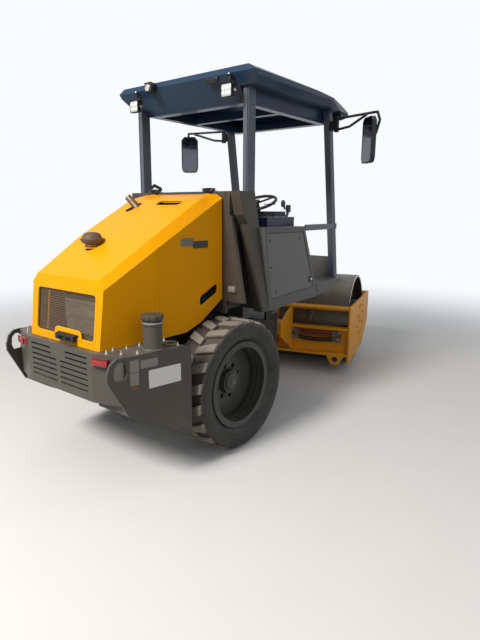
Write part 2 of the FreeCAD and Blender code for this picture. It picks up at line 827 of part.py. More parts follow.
def make_hood():
    """Hollow hood with a grille opening, side vents and an arch over each wheel."""
    outer = hood_solid("hood_outer", 0, dim.hood_rear_x, dim.hood_front_x, hood_low_z)
    inner = hood_solid(
        "hood_inner",
        dim.hood_wall,
        dim.hood_rear_top_x + dim.hood_wall,
        dim.hood_front_x + 1,
        hood_low_z - 50,
    )
    wide = dim.hood_front_half + 50
    slant = [
        (dim.hood_rear_x - 60, hood_low_z),
        (dim.hood_rear_x, hood_low_z),
        (dim.hood_rear_top_x, dim.hood_rear_top_z - 8),
        (dim.hood_rear_top_x + 10, dim.hood_rear_top_z + 60),
        (dim.hood_rear_x - 60, dim.hood_rear_top_z + 60),
    ]
    slant_tool = prism("hood_slant", "XZ", (-wide, wide), slant)
    arch = [
        (dim.hood_arch_start_x, hood_low_z - 10),
        (dim.hood_arch_start_x, hood_low_z),
        (dim.hood_arch_start_x + 160, hood_low_z + 50),
        (dim.hood_front_x + 5, hood_low_z + dim.hood_arch_rise),
        (dim.hood_front_x + 5, hood_low_z - 10),
    ]
    arch_tool = prism("hood_arch", "XZ", (-wide, wide), arch)
    opening = box(
        "grille_opening",
        (dim.hood_rear_x - 5, dim.hood_rear_top_x + dim.hood_wall + 5),
        (-dim.grille_half, dim.grille_half),
        (dim.grille_low_z, dim.grille_high_z),
    )
    vent = [
        (dim.vent_rear_x, dim.vent_low_z),
        (dim.vent_front_x, dim.vent_low_z + dim.vent_rise),
        (dim.vent_front_x - 10, dim.vent_low_z + dim.vent_rise + dim.vent_height),
        (dim.vent_rear_x - 10, dim.vent_low_z + dim.vent_height),
    ]
    vents = prism("hood_vents", "XZ", (-wide, wide), vent)
    slot = box(
        "hood_grip_slot",
        (dim.grip_slot_x - 34, dim.grip_slot_x + 34),
        (dim.grip_slot_y - dim.grip_slot_half, dim.grip_slot_y + dim.grip_slot_half),
        (dim.hood_crease_top_z, dim.hood_front_top_z),
    )
    pipe_hole = bar("exhaust_hole", EXHAUST_START, EXHAUST_END, dim.exhaust_radius + dim.part_gap)[0]
    neck_start = (dim.intake_x, dim.intake_y, dim.intake_z - 80)
    neck_hole = rod("intake_hole", neck_start, "Z", 160, dim.intake_neck_radius + dim.part_gap)
    tools = (inner, slant_tool, arch_tool, opening, vents, slot, pipe_hole, neck_hole)
    shell = cut("hood_shell_cut", outer, *tools)
    pieces = [shell]
    pins = []
    x, z = hinge_line()
    eye = dim.hinge_eye_radius
    for tag, middle in (("right", -dim.hinge_y), ("left", dim.hinge_y)):
        start = middle - dim.hinge_width / 2
        pieces.append(rod("hinge_eye_" + tag, (x, start, z), "Y", dim.hinge_width, eye))
        leaf = box(
            "hinge_leaf_" + tag,
            (x - eye, x - eye + 8),
            (start, start + dim.hinge_width),
            (dim.hood_front_top_z - 10, z),
        )
        pieces.append(leaf)
        hole = (x, start - 1, z)
        radius = dim.hinge_pin_radius + dim.running_fit
        pins.append(rod("hinge_bore_" + tag, hole, "Y", dim.hinge_width + 2, radius))
    keep(cut("hood_hinged", join("hood_with_eyes", *pieces), *pins), "hood_shell")


def hood_rear_slope():
    """How far the hood's rear face leans forward for each millimetre up."""
    return (dim.hood_rear_top_x - dim.hood_rear_x) / (dim.hood_rear_top_z - hood_low_z)


def make_grille():
    """Mesh panel in the rear opening, leaning with the rear face."""
    gap = dim.part_gap
    slope = hood_rear_slope()
    low = dim.grille_low_z + gap
    high = dim.grille_high_z - gap
    rear_low = dim.hood_rear_x + slope * (low - hood_low_z) + 12
    rear_high = dim.hood_rear_x + slope * (high - hood_low_z) + 12
    outline = [
        (rear_low, low),
        (rear_low + dim.grille_thickness, low),
        (rear_high + dim.grille_thickness, high),
        (rear_high, high),
    ]
    half = dim.grille_half - gap
    keep(prism("grille_mesh", "XZ", (-half, half), outline), "hood_grille")


def make_latch():
    """Black pull handle at the foot of the hood's rear face."""
    low = dim.grille_low_z - 18
    face = dim.hood_rear_x + hood_rear_slope() * (low + 6 - hood_low_z) - dim.part_gap
    right = dim.latch_middle_y - dim.latch_width / 2
    left = dim.latch_middle_y + dim.latch_width / 2
    handle = box("latch_handle", (face - 34, face - 12), (right, left), (low, low + dim.latch_height))
    feet = [
        box(f"latch_foot_{tag}", (face - 14, face), (start, start + 26), (low + 6, low + 16))
        for tag, start in (("right", right + 10), ("left", left - 36))
    ]
    keep(join("latch", handle, *feet), "hood_latch")


def make_exhaust():
    """Open exhaust stub that leans to the left through the hood's upper slope."""
    tube = bar("exhaust_tube", EXHAUST_START, EXHAUST_END, dim.exhaust_radius)[0]
    inner = dim.exhaust_radius - dim.exhaust_wall
    depth = [start + (end - start) * 0.3 for start, end in zip(EXHAUST_START, EXHAUST_END)]
    past = [end + (end - start) * 0.1 for start, end in zip(EXHAUST_START, EXHAUST_END)]
    bore = bar("exhaust_bore", depth, past, inner)[0]
    keep(cut("exhaust", tube, bore), "exhaust_stub")


def make_intake():
    """Round rain cap of the air intake on a short neck."""
    x, y, z = dim.intake_x, dim.intake_y, dim.intake_z
    neck = rod("intake_neck", (x, y, z - 60), "Z", 90, dim.intake_neck_radius)
    cap = rod("intake_rim", (x, y, z + 30), "Z", 18, dim.intake_cap_radius)
    dome = doc.addObject("Part::Cone", "intake_dome")
    dome.Radius1 = bind(dome, "Radius1", dim.intake_cap_radius)
    dome.Radius2 = bind(dome, "Radius2", dim.intake_cap_radius * 0.55)
    dome.Height = 26
    move_to(dome, x, y, z + 48)
    keep(join("intake", neck, cap, dome), "intake_cap")


def make_bulkhead():
    """Panel between engine bay and seat, wider beside the hood, with the sill over it."""
    back = dim.bulkhead_x
    front = back + dim.bulkhead_thickness
    rib_low_z = dim.sill_z - 40 - dim.part_gap
    right = [
        (dim.bulkhead_half, dim.bulkhead_low_z),
        (dim.bulkhead_half, dim.wall_low_z),
        (dim.wall_low_half, dim.wall_low_z),
        (dim.wall_high_half, dim.leg_arch_z + 20),
        (dim.leg_top_outer_y - dim.leg_thickness - dim.part_gap, dim.leg_arch_z + 35),
        (dim.leg_top_outer_y - dim.leg_thickness - dim.part_gap, rib_low_z),
        (dim.bulkhead_half - dim.part_gap, rib_low_z),
        (dim.bulkhead_half - dim.part_gap, dim.sill_z),
    ]
    left = [(-y, z) for y, z in right]
    panel = prism("bulkhead_panel", "YZ", (back, front), left + right[::-1])
    sill = box(
        "bulkhead_sill",
        (front, dim.leg_top_front_x),
        (-dim.bulkhead_half, dim.bulkhead_half),
        (dim.sill_z - 40, dim.sill_z),
    )
    foot = box(
        "bulkhead_foot",
        (front, dim.platform_rear_x),
        (-dim.console_inner_y, dim.bulkhead_half),
        (dim.bulkhead_low_z, dim.bulkhead_low_z + 40),
    )
    pieces = [panel, sill, foot]
    x, z = hinge_line()
    radius = dim.hinge_pin_radius
    reach = dim.hinge_width / 2
    for tag, middle in (("right", -dim.hinge_y), ("left", dim.hinge_y)):
        start = middle - reach - 20
        pieces.append(rod("hinge_pin_" + tag, (x, start, z), "Y", dim.hinge_width + 40, radius))
        for end, low in (("a", start), ("b", middle + reach + 2)):
            lug = box(f"hinge_lug_{tag}_{end}", (x - 10, back + 25), (low, low + 18), (dim.sill_z, z + 10))
            pieces.append(lug)
    keep(join("bulkhead_whole", *pieces), "bulkhead")


def make_side_legs():
    """Leg on each side from the sill down and forward to the platform's edge."""
    thick = dim.leg_thickness
    top = dim.leg_top_outer_y
    foot = dim.leg_outer_y
    lean = (foot - top) / (dim.sill_z - dim.leg_foot_z)
    lean_x = (dim.leg_foot_front_x - dim.leg_top_front_x) / (dim.sill_z - dim.leg_foot_z)
    rows = []
    steps = (
        (dim.sill_z, dim.leg_top_rear_x),
        (dim.leg_arch_z + 40, dim.leg_top_rear_x + 34),
        (dim.leg_arch_z - 30, dim.leg_top_rear_x + 92),
        (dim.leg_foot_z, dim.leg_foot_rear_x),
    )
    for z, rear in steps:
        outer = top + lean * (dim.sill_z - z)
        front = dim.leg_top_front_x + lean_x * (dim.sill_z - z)
        rows.append((z, rear, front, outer - thick, outer))
    leg = level_loft("side_leg", rows)
    rib = box(
        "side_leg_rib",
        (dim.leg_top_rear_x, dim.leg_top_front_x),
        (dim.bulkhead_half, top - thick + 1),
        (dim.sill_z - 40, dim.sill_z),
    )
    keep(both_sides("side_leg_pair", join("side_leg_whole", leg, rib)), "side_legs")


def post_foot(name):
    """The block at the foot of the left front post."""
    outer = dim.front_post_outer_y
    return box(
        name,
        (dim.front_post_foot_x - dim.front_post_depth - 10, dim.front_post_foot_x),
        (outer - dim.front_post_width, outer),
        (dim.floor_z - dim.floor_thickness - 10, dim.floor_z),
    )


def make_platform():
    """Floor with its cross beams, and the wall in front of the feet."""
    half = dim.platform_half
    inner = dim.leg_outer_y - dim.leg_thickness - dim.part_gap
    floor = box(
        "floor_plate",
        (dim.platform_rear_x, dim.platform_front_x - dim.front_wall_thickness),
        (-dim.console_inner_y, half),
        (dim.floor_z - dim.floor_thickness, dim.floor_z),
    )
    edge = [
        (dim.console_low_front_x + 4, dim.console_low_front_z + 4),
        (dim.platform_front_x - dim.front_wall_thickness, dim.floor_z - dim.floor_thickness),
        (dim.platform_front_x - dim.front_wall_thickness, dim.floor_z),
        (dim.console_low_front_x - 44, dim.floor_z),
    ]
    skirt = prism("floor_skirt", "XZ", (-half, -dim.console_inner_y + 1), edge)
    beams = []
    for tag, middle in (("rear", dim.platform_rear_x + 60), ("front", dim.rail_front_x - 60)):
        beam = box(
            "floor_beam_" + tag,
            (middle - 45, middle + 45),
            (-dim.console_inner_y, dim.console_inner_y),
            (dim.rail_top_z, dim.floor_z - dim.floor_thickness),
        )
        beams.append(beam)
    solid = join("platform", floor, skirt, *beams)
    foot = post_foot("platform_post_foot")
    keep(cut("platform_cut", solid, foot, mirrored(foot)), "platform_floor")
    wall = box(
        "toe_wall",
        (dim.platform_front_x - dim.front_wall_thickness, dim.platform_front_x),
        (-dim.front_post_outer_y + dim.front_post_width, dim.front_post_outer_y - dim.front_post_width),
        (dim.floor_z - dim.floor_thickness, dim.floor_z + dim.front_wall_height),
    )
    keep(wall, "front_wall")
    outer = dim.leg_outer_y
    inner = outer - dim.step_depth
    tread = dim.step_z + 30
    step = box("step_tread", (dim.step_rear_x, dim.step_front_x), (inner, outer), (dim.step_z, tread))
    hangers = []
    for tag, x in (("rear", dim.step_rear_x), ("front", dim.step_front_x - 30)):
        height = (tread, dim.floor_z - dim.floor_thickness)
        hangers.append(box("step_hanger_" + tag, (x, x + 30), (inner, inner + 60), height))
    keep(join("step", step, *hangers), "left_step")


def console_slope():
    """How far the console's front edge runs back for each millimetre up."""
    run = dim.console_low_front_x - dim.console_top_front_x
    return run / (dim.console_top_z - dim.console_low_front_z)


def make_console():
    """Right-hand console with a recess for its bolted cover."""
    outer = dim.leg_outer_y
    slope = console_slope()
    lean = (dim.leg_foot_front_x - dim.leg_top_front_x) / (dim.sill_z - dim.leg_foot_z)

    def leg_front(z):
        return dim.leg_foot_front_x - lean * (z - dim.leg_foot_z) + dim.part_gap

    def console_front(z):
        return dim.console_low_front_x - slope * (z - dim.console_low_front_z)

    outline = [
        (leg_front(dim.leg_foot_z), dim.leg_foot_z),
        (dim.console_low_front_x, dim.console_low_front_z),
        (dim.console_top_front_x, dim.console_top_z),
        (leg_front(dim.console_top_z), dim.console_top_z),
    ]
    block = prism("console_block", "XZ", (-outer, -dim.console_inner_y - dim.part_gap), outline)
    border = dim.console_border
    low = dim.leg_foot_z + border * 2
    high = dim.console_top_z - border
    low_front = low + (dim.console_low_front_z - dim.leg_foot_z) * 1.3

    def recess(name, span, inset):
        corners = [
            (leg_front(low) + border + inset, low + inset),
            (console_front(low_front) - border - inset, low_front + inset),
            (console_front(high) - border * 0.8 - inset, high - inset),
            (leg_front(high) + border * 0.8 + inset, high - inset),
        ]
        return prism(name, "XZ", span, corners)

    pocket = recess("console_pocket", (-outer - 1, -outer + dim.cover_depth), as_size(0))
    keep(cut("console_cut", block, pocket), "right_console")
    face = -outer + dim.cover_depth
    cover = recess("cover_plate", (face - dim.cover_thickness, face), dim.part_gap * 10)
    keep(cover, "console_cover")
    top = dim.console_top_z
    armrest = box("armrest", (-400, 10), (-545, -440), (top, top + 78))
    lever = bar("lever_stem", (-40, -492, top + 70), (-6, -492, top + 130), 13)
    knob = rod("lever_knob", (-6, -492, top + 118), "Z", 62, 22)
    keep(join("control_arm", armrest, *lever, knob), "armrest_console")


def make_rear_posts():
    """Rear posts of the protective frame, each an outer bar with a grooved face."""
    top = dim.roof_under_z
    inner = dim.rear_post_inner_y
    outer = inner + dim.rear_post_width
    x = dim.rear_post_x
    post = box("rear_post_block", (x, x + dim.rear_post_depth), (inner, outer), (dim.sill_z, top))
    groove = box(
        "rear_post_groove",
        (x - 1, x + 8),
        (outer - 12, outer - 6),
        (dim.sill_z - 1, top + 1),
    )
    keep(both_sides("rear_post_pair", cut("rear_post", post, groove)), "rear_posts")


def make_front_posts():
    """Front posts, which lean back from the platform to the roof."""
    top = dim.roof_under_z
    outline = [
        (dim.front_post_foot_x - dim.front_post_depth, dim.floor_z),
        (dim.front_post_foot_x, dim.floor_z),
        (dim.front_post_top_x, top),
        (dim.front_post_top_x - dim.front_post_depth, top),
    ]
    outer = dim.front_post_outer_y
    inner = outer - dim.front_post_width
    post = prism("front_post", "XZ", (inner, outer), outline)
    whole = join("front_post_whole", post, post_foot("front_post_foot"))
    keep(both_sides("front_post_pair", whole), "front_posts")


def make_roof():
    """Roof panel with a slanted rear fascia and a curved nose, open underneath."""
    top = dim.roof_top_z
    under = dim.roof_under_z
    low = dim.roof_low_z
    nose = dim.roof_nose_x
    rear = dim.roof_rear_x
    side_view = [
        (rear, top),
        (rear + 530, top - 16),
        (rear + 1130, top - 46),
        (nose - 140, top - 78),
        (nose, top - 98),
        (nose + 6, top - 120),
        (nose - 40, under + 4),
        (nose - 160, under),
        (nose - 200, low),
        (rear + 150, low),
        (rear - 4, top - 40),
    ]
    side = prism("roof_side_view", "XZ", (-dim.roof_half_wide - 10, dim.roof_half_wide + 10), side_view)
    wide = dim.roof_half_wide
    half = dim.roof_half_top
    skirt = dim.roof_skirt_half
    inside = dim.roof_box_half
    section = [
        (-half, top),
        (-wide, top - 34),
        (-wide, under + 46),
        (-skirt, under),
        (-inside, under),
        (-inside + 10, low),
        (inside - 10, low),
        (inside, under),
        (skirt, under),
        (wide, under + 46),
        (wide, top - 34),
        (half, top),
    ]
    across = prism("roof_section", "YZ", (rear - 20, nose + 20), section)
    form = doc.addObject("Part::Common", "roof_square")
    form.Base = side
    form.Tool = across
    plan = [
        (rear - 30, -wide - 5),
        (rear + 1120, -wide - 5),
        (nose + 20, -dim.roof_nose_half),
        (nose + 20, dim.roof_nose_half),
        (rear + 1120, wide + 5),
        (rear - 30, wide + 5),
    ]
    common = doc.addObject("Part::Common", "roof_form")
    common.Base = form
    common.Tool = prism("roof_plan", "XY", (low - 10, top + 10), plan)
    common.Refine = True
    lip_side = [
        (nose - 150, under + 10),
        (nose - 4, top - 99),
        (nose + 4, top - 118),
        (nose - 34, top - 150),
        (nose - 118, top - 178),
        (nose - 132, top - 170),
    ]
    lip = prism("roof_lip", "XZ", (-dim.roof_nose_half, dim.roof_nose_half), lip_side)
    wall = dim.roof_wall
    hollow = [
        (rear + 150 + wall, low - 5),
        (rear + 150 - 95, top - 40 - wall),
        (rear + 1130, top - 46 - wall),
        (nose - 220, top - 120),
        (nose - 220, low - 5),
    ]
    cavity = prism("roof_cavity", "XZ", (-inside + 20, inside - 20), hollow)
    keep(join("roof", cut("roof_hollow", common, cavity), lip), "roof_panel")


def make_roof_frame():
    """Rails and cross members that tie the four posts under the roof."""
    low = dim.roof_low_z
    tube = dim.roof_rail
    outer = dim.roof_box_half - 20 - dim.part_gap
    front = dim.roof_nose_x - 220 - dim.part_gap
    rear = dim.roof_rear_x + 150 + dim.roof_wall + dim.part_gap
    side = box("roof_rail_side", (rear, front), (outer - tube, outer), (low, low + tube))
    cross = [
        box("roof_cross_" + tag, (x, x + tube), (-outer, outer), (low, low + tube))
        for tag, x in (("rear", rear), ("middle", dim.seat_x + 150), ("front", front - tube))
    ]
    keep(join("roof_tubes", side, mirrored(side), *cross), "roof_frame")


def make_lamps():
    """Rear work lamps on short brackets and the small camera lamp between them."""
    face = dim.roof_rear_x - 4
    bracket_top = dim.lamp_z + dim.lamp_height + 50
    fascia_slope = as_size(154) / (dim.roof_top_z - 40 - dim.roof_low_z)
    bracket_end = face + fascia_slope * (dim.roof_top_z - 40 - bracket_top) - dim.part_gap
    lamps = []
    for tag, middle in (("right", -dim.lamp_y), ("left", dim.lamp_y)):
        half = dim.lamp_width / 2
        body = box(
            "lamp_" + tag,
            (face - dim.lamp_depth, face),
            (middle - half, middle + half),
            (dim.lamp_z, dim.lamp_z + dim.lamp_height),
        )
        bracket = box(
            "lamp_bracket_" + tag,
            (face - 36, bracket_end),
            (middle - 22, middle + 22),
            (dim.lamp_z + dim.lamp_height, bracket_top),
        )
        lamps.append(join("lamp_whole_" + tag, body, bracket))
    keep(group("lamp_pair", *lamps), "rear_work_lights")
    camera = box(
        "camera_box",
        (face - 70, face),
        (255, 338),
        (dim.roof_top_z - 83, dim.roof_top_z - 3),
    )
    keep(camera, "beacon_socket")


def make_mirrors():
    """Mirror heads on two-rod arms from the front posts, turned in towards the seat."""
    x = dim.mirror_x
    y = dim.mirror_y
    half = dim.mirror_width / 2
    tall = dim.mirror_height / 2
    turn = Rotation(Vector(0, 0, 1), dim.mirror_turn.value)
    outline = [
        (-half, -tall + 50),
        (-half + 14, -tall + 10),
        (-half + 36, -tall),
        (half - 36, -tall),
        (half - 14, -tall + 10),
        (half, -tall + 50),
        (half, tall - 36),
        (half - 30, tall),
        (-half + 30, tall),
        (-half, tall - 36),
    ]
    head = prism("mirror_head", "YZ", (-dim.mirror_depth / 2, dim.mirror_depth / 2), outline)
    placed = join_one("mirror_placed", head)
    move_to(placed, x, y, dim.mirror_z, turn)
    keep(both_sides("mirror_pair", placed), "mirrors")
    inner = dim.front_post_outer_y
    lean = (dim.front_post_foot_x - dim.front_post_top_x) / (dim.roof_under_z - dim.floor_z)
    post_middle = dim.front_post_top_x - dim.front_post_depth / 2
    post_front = post_middle + lean * (dim.roof_under_z - dim.mirror_arm_z)
    tube = dim.mirror_tube
    out_y = y + 62
    back_x = x + 34
    top = dim.mirror_z + tall
    pieces = bent_bar(
        "mirror_rod_upper",
        [
            (post_front, inner + 58, dim.mirror_arm_z),
            (back_x, out_y - 14, top + 42),
            (back_x + 16, out_y + 4, top - 20),
            (back_x + 8, out_y - 20, dim.mirror_z + 60),
            (x, y, dim.mirror_z + 40),
        ],
        tube,
    )
    lower = bent_bar(
        "mirror_rod_lower",
        [
            (post_front, inner + 58, dim.mirror_arm_z - 95),
            (post_front - 10, inner + 190, dim.mirror_arm_z - 80),
            (back_x - 4, out_y - 110, top + 28),
        ],
        tube,
    )
    clamp = box(
        "mirror_clamp",
        (post_front - 16, post_front + 16),
        (inner + 44, inner + 76),
        (dim.mirror_arm_z - 115, dim.mirror_arm_z + 20),
    )
    bracket = box(
        "mirror_bracket",
        (post_front - 30, post_front + 30),
        (inner, inner + 50),
        (dim.mirror_arm_z - 100, dim.mirror_arm_z - 20),
    )
    arm = join("mirror_arm", pieces, lower, clamp, bracket)
    keep(both_sides("mirror_arm_pair", cut("mirror_arm_free", arm, placed)), "mirror_arms")


def make_handrails():
    """Rail from console to right front post, and the curved grab rail at the left rear post."""
    outer = dim.leg_outer_y
    slope = console_slope()
    start = dim.console_top_front_x + slope * 40 + dim.part_gap
    lean = (dim.front_post_foot_x - dim.front_post_top_x) / (dim.roof_under_z - dim.floor_z)
    post_foot_x = dim.front_post_foot_x - dim.front_post_depth
    post_back = post_foot_x - lean * (dim.console_top_z - dim.floor_z)
    face = dim.front_post_outer_y + dim.part_gap
    far = post_back + dim.front_post_depth
    outline = [
        (start, -outer),
        (far - 90, -face - 12),
        (far, -face - 12),
        (far, -face),
        (far - 90, -face),
        (start, -outer + 12),
    ]
    rail = prism("hand_rail", "XY", (dim.console_top_z - 39, dim.console_top_z + 13), outline)
    post_face = dim.rear_post_x + dim.rear_post_depth + dim.grab_radius + dim.part_gap
    foot_z = dim.floor_z + dim.grab_radius + dim.part_gap
    grab = bent_bar(
        "grab_rail",
        [
            (post_face, dim.grab_y, dim.sill_z + 50),
            (post_face + 40, dim.grab_y, dim.sill_z + 74),
            (post_face + 110, dim.grab_y, dim.sill_z + 50),
            (post_face + 165, dim.grab_y, dim.sill_z - 110),
            (post_face + 180, dim.grab_y, dim.floor_z + 130),
            (post_face + 172, dim.grab_y, foot_z),
        ],
        dim.grab_radius,
    )
    keep(group("hand_rails", rail, grab), "handrails")


def make_seat():
    """Seat box with a cushion and a low backrest."""
    x = dim.seat_x
    half = dim.seat_half
    depth = dim.cushion_depth / 2
    top = dim.floor_z + dim.seat_height
    stand = box("seat_box", (x - depth + 20, x + depth - 40), (-half + 20, half - 20), (dim.floor_z, top))
    keep(stand, "seat_base")
    gap = dim.soft_gap
    low = top + gap
    cushion = box("cushion", (x - depth, x + depth), (-half, half), (low, low + dim.cushion_height))
    keep(cushion, "seat_cushion")
    rest_low = top + gap * 2 + dim.cushion_height
    rest = box(
        "backrest",
        (x - depth, x - depth + dim.backrest_thickness),
        (-half, half),
        (rest_low, rest_low + dim.backrest_height),
    )
    keep(rest, "seat_backrest")


def make_steering_column():
    """Column from the floor with its cowl, and the steering wheel on top."""
    x = dim.column_x
    foot = box("column_foot", (x - 60, x + 100), (-90, 90), (dim.floor_z, dim.floor_z + 480))
    cowl = box("column_cowl", (x - 90, x + 110), (-170, 170), (dim.floor_z + 480, dim.floor_z + 640))
    tilt = Rotation(Vector(0, 1, 0), -dim.steer_wheel_tilt.value)
    down = tilt.multVec(Vector(0, 0, -1))
    centre = Vector(dim.steer_wheel_x.value, 0, dim.steer_wheel_z.value)
    end = centre + down * -4
    start = centre + down * 260
    shaft = bar("column_shaft", tuple(start), tuple(end + down * 20), dim.column_radius)
    keep(join("column", foot, cowl, *shaft), "steering_column")
    rim = doc.addObject("Part::Torus", "wheel_rim")
    rim.Radius1 = bind(rim, "Radius1", dim.steer_wheel_radius)
    rim.Radius2 = bind(rim, "Radius2", dim.steer_wheel_tube)
    move_to(rim, dim.steer_wheel_x, 0, dim.steer_wheel_z, tilt)
    spokes = []
    for number in range(3):
        angle = math.radians(90 + 120 * number)
        reach = dim.steer_wheel_radius.value
        tip = centre + tilt.multVec(Vector(math.cos(angle) * reach, math.sin(angle) * reach, 0))
        spokes += bar(f"wheel_spoke_{number}", tuple(centre), tuple(tip), 9)
    hub = doc.addObject("Part::Cylinder", "wheel_hub")
    hub.Radius = 36
    hub.Height = 26
    move_to(hub, dim.steer_wheel_x, 0, dim.steer_wheel_z, tilt)
    wheel = cut("steering_wheel_free", join("steering_wheel_whole", rim, hub, *spokes), *shaft)
    keep(wheel, "steering_wheel")


def faceted(name, rows, count):
    """A solid of flat faces round the Y axis, through rings of (y, radius) with count corners."""
    rings = []
    for y, radius in rows:
        ring = []
        for number in range(count):
            angle = 2 * math.pi * number / count
            place = (math.cos(angle) * radius.value, y.value, math.sin(angle) * radius.value)
            ring.append(Vector(*place))
        rings.append(ring)
    outlines = [rings[0], rings[-1]]
    for here, there in zip(rings, rings[1:]):
        for number in range(count):
            after = (number + 1) % count
            outlines.append([here[number], here[after], there[after], there[number]])
    faces = [Part.Face(Part.makePolygon(outline + outline[:1])) for outline in outlines]
    whole = doc.addObject("Part::Feature", name)
    whole.Shape = Part.Solid(Part.Shell(faces))
    return whole


def tyre_carcass():
    """The tyre under its lugs: flat faces through many-cornered rings, bored for the rim."""
    half = dim.tyre_width / 2
    seat = dim.rim_width / 2 - dim.rim_flange_width - 2
    rows = (
        # distance from the middle, radius
        (seat, dim.bead_radius + dim.rim_flange_height + 6),
        (half - 5, dim.bead_radius + dim.rim_flange_height + 50),
        (half - 4, dim.tread_radius - 12),
        (half - 20, dim.tread_radius),
    )
    both = [(-y, radius) for y, radius in rows] + list(rows[::-1])
    outer = faceted("tyre_rings", both, TYRE_CORNERS)
    bore = rod("tyre_bore", (0, -half, 0), "Y", half * 2, dim.bead_radius + dim.part_gap)
    return cut("tyre_carcass", outer, bore)


def tyre_lugs(side):
    """One half's row of lugs, each wider and swept forward towards the shoulder."""
    half = dim.tyre_width / 2
    middle = dim.lug_middle_width / 2
    wide = dim.lug_width / 2
    sweep = dim.lug_sweep / 2
    reach = (wide + sweep).value
    tip = as_size(math.sqrt(dim.tyre_radius.value ** 2 - reach ** 2))
    root = dim.tread_radius - 45
    plan = [
        (-middle - sweep, -5 * side),
        (middle - sweep, -5 * side),
        (wide + sweep, (half + 5) * side),
        (-wide + sweep, (half + 5) * side),
    ]
    section = [
        (-10 * side, root),
        (-10 * side, tip),
        ((half - 20) * side, tip),
        (half * side, tip - 24),
        (half * side, root + 12),
        ((half - 12) * side, root),
    ]
    tag = "right" if side < 0 else "left"
    lug = doc.addObject("Part::Common", "lug_" + tag)
    lug.Base = prism("lug_plan_" + tag, "XY", (root - 5, tip + 5), plan)
    lug.Tool = prism("lug_section_" + tag, "YZ", (-reach - 5, reach + 5), section)
    pitch = 360 / LUG_COUNT
    row = []
    for number in range(LUG_COUNT):
        turn = pitch * (number + (0.5 if side < 0 else 0))
        copy = join_one(f"lug_{tag}_{number}", lug)
        copy.Placement = Placement(Vector(), Rotation(Vector(0, 1, 0), turn))
        row.append(copy)
    return row


def make_wheels():
    """Tyre and rim on each side, the rim's disc set towards the machine."""
    flange = dim.bead_radius + dim.rim_flange_height
    edge = dim.rim_width / 2
    barrel = dim.bead_radius - dim.rim_wall
    face = -dim.disc_offset
    back = face
    front = face + dim.disc_thickness
    bore = dim.stub_radius + dim.running_fit
    rim_profile = [
        (-edge, flange),
        (-edge + dim.rim_flange_width, flange),
        (-edge + dim.rim_flange_width, dim.bead_radius),
        (edge - dim.rim_flange_width, dim.bead_radius),
        (edge - dim.rim_flange_width, flange),
        (edge, flange),
        (edge, barrel),
        (front, barrel),
        (front, bore + 55),
        (front + 45, bore + 45),
        (front + 45, bore),
        (back, bore),
        (back, barrel),
        (-edge, barrel),
    ]
    whole = join("tyre_with_lugs", tyre_carcass(), *tyre_lugs(1), *tyre_lugs(-1))
    for side, tag in ((1, "left"), (-1, "right")):
        tyre = join_one("tyre_" + tag, whole)
        corners = [(y * side, radius) for y, radius in rim_profile]
        rim = turned("rim_" + tag, corners)
        for piece, label in ((tyre, "tyre_" + tag), (rim, "rim_" + tag)):
            move_to(piece, dim.wheel_x, dim.wheel_y * side, dim.tyre_radius)
            keep(piece, label)


def make_yoke():
    """Swivel boss on the vertical pin, with the forward trunnion and the steering arm."""
    gap = dim.moving_gap
    low = dim.ear_low_z + dim.ear_thickness + gap
    high = dim.ear_high_z - gap
    boss = rod("yoke_boss", (0, 0, low), "Z", high - low, dim.ear_radius)
    trunnion = rod("yoke_trunnion", (0, 0, dim.trunnion_z), "X", dim.trunnion_length, dim.trunnion_radius)
    arm_low = dim.cylinder_z - dim.eye_height / 2 - 5 - 30
    arm = box("yoke_arm", (-40, 40), (0, dim.cylinder_arm), (arm_low, arm_low + 30))
    arm_end = rod("yoke_arm_end", (0, dim.cylinder_arm, arm_low), "Z", 30, 40)
    bore = rod("yoke_bore", (0, 0, low - 5), "Z", high - low + 10, dim.pin_radius + dim.running_fit)
    keep(cut("yoke", join("yoke_body", boss, trunnion, arm, arm_end), bore), "articulation_yoke", "front")


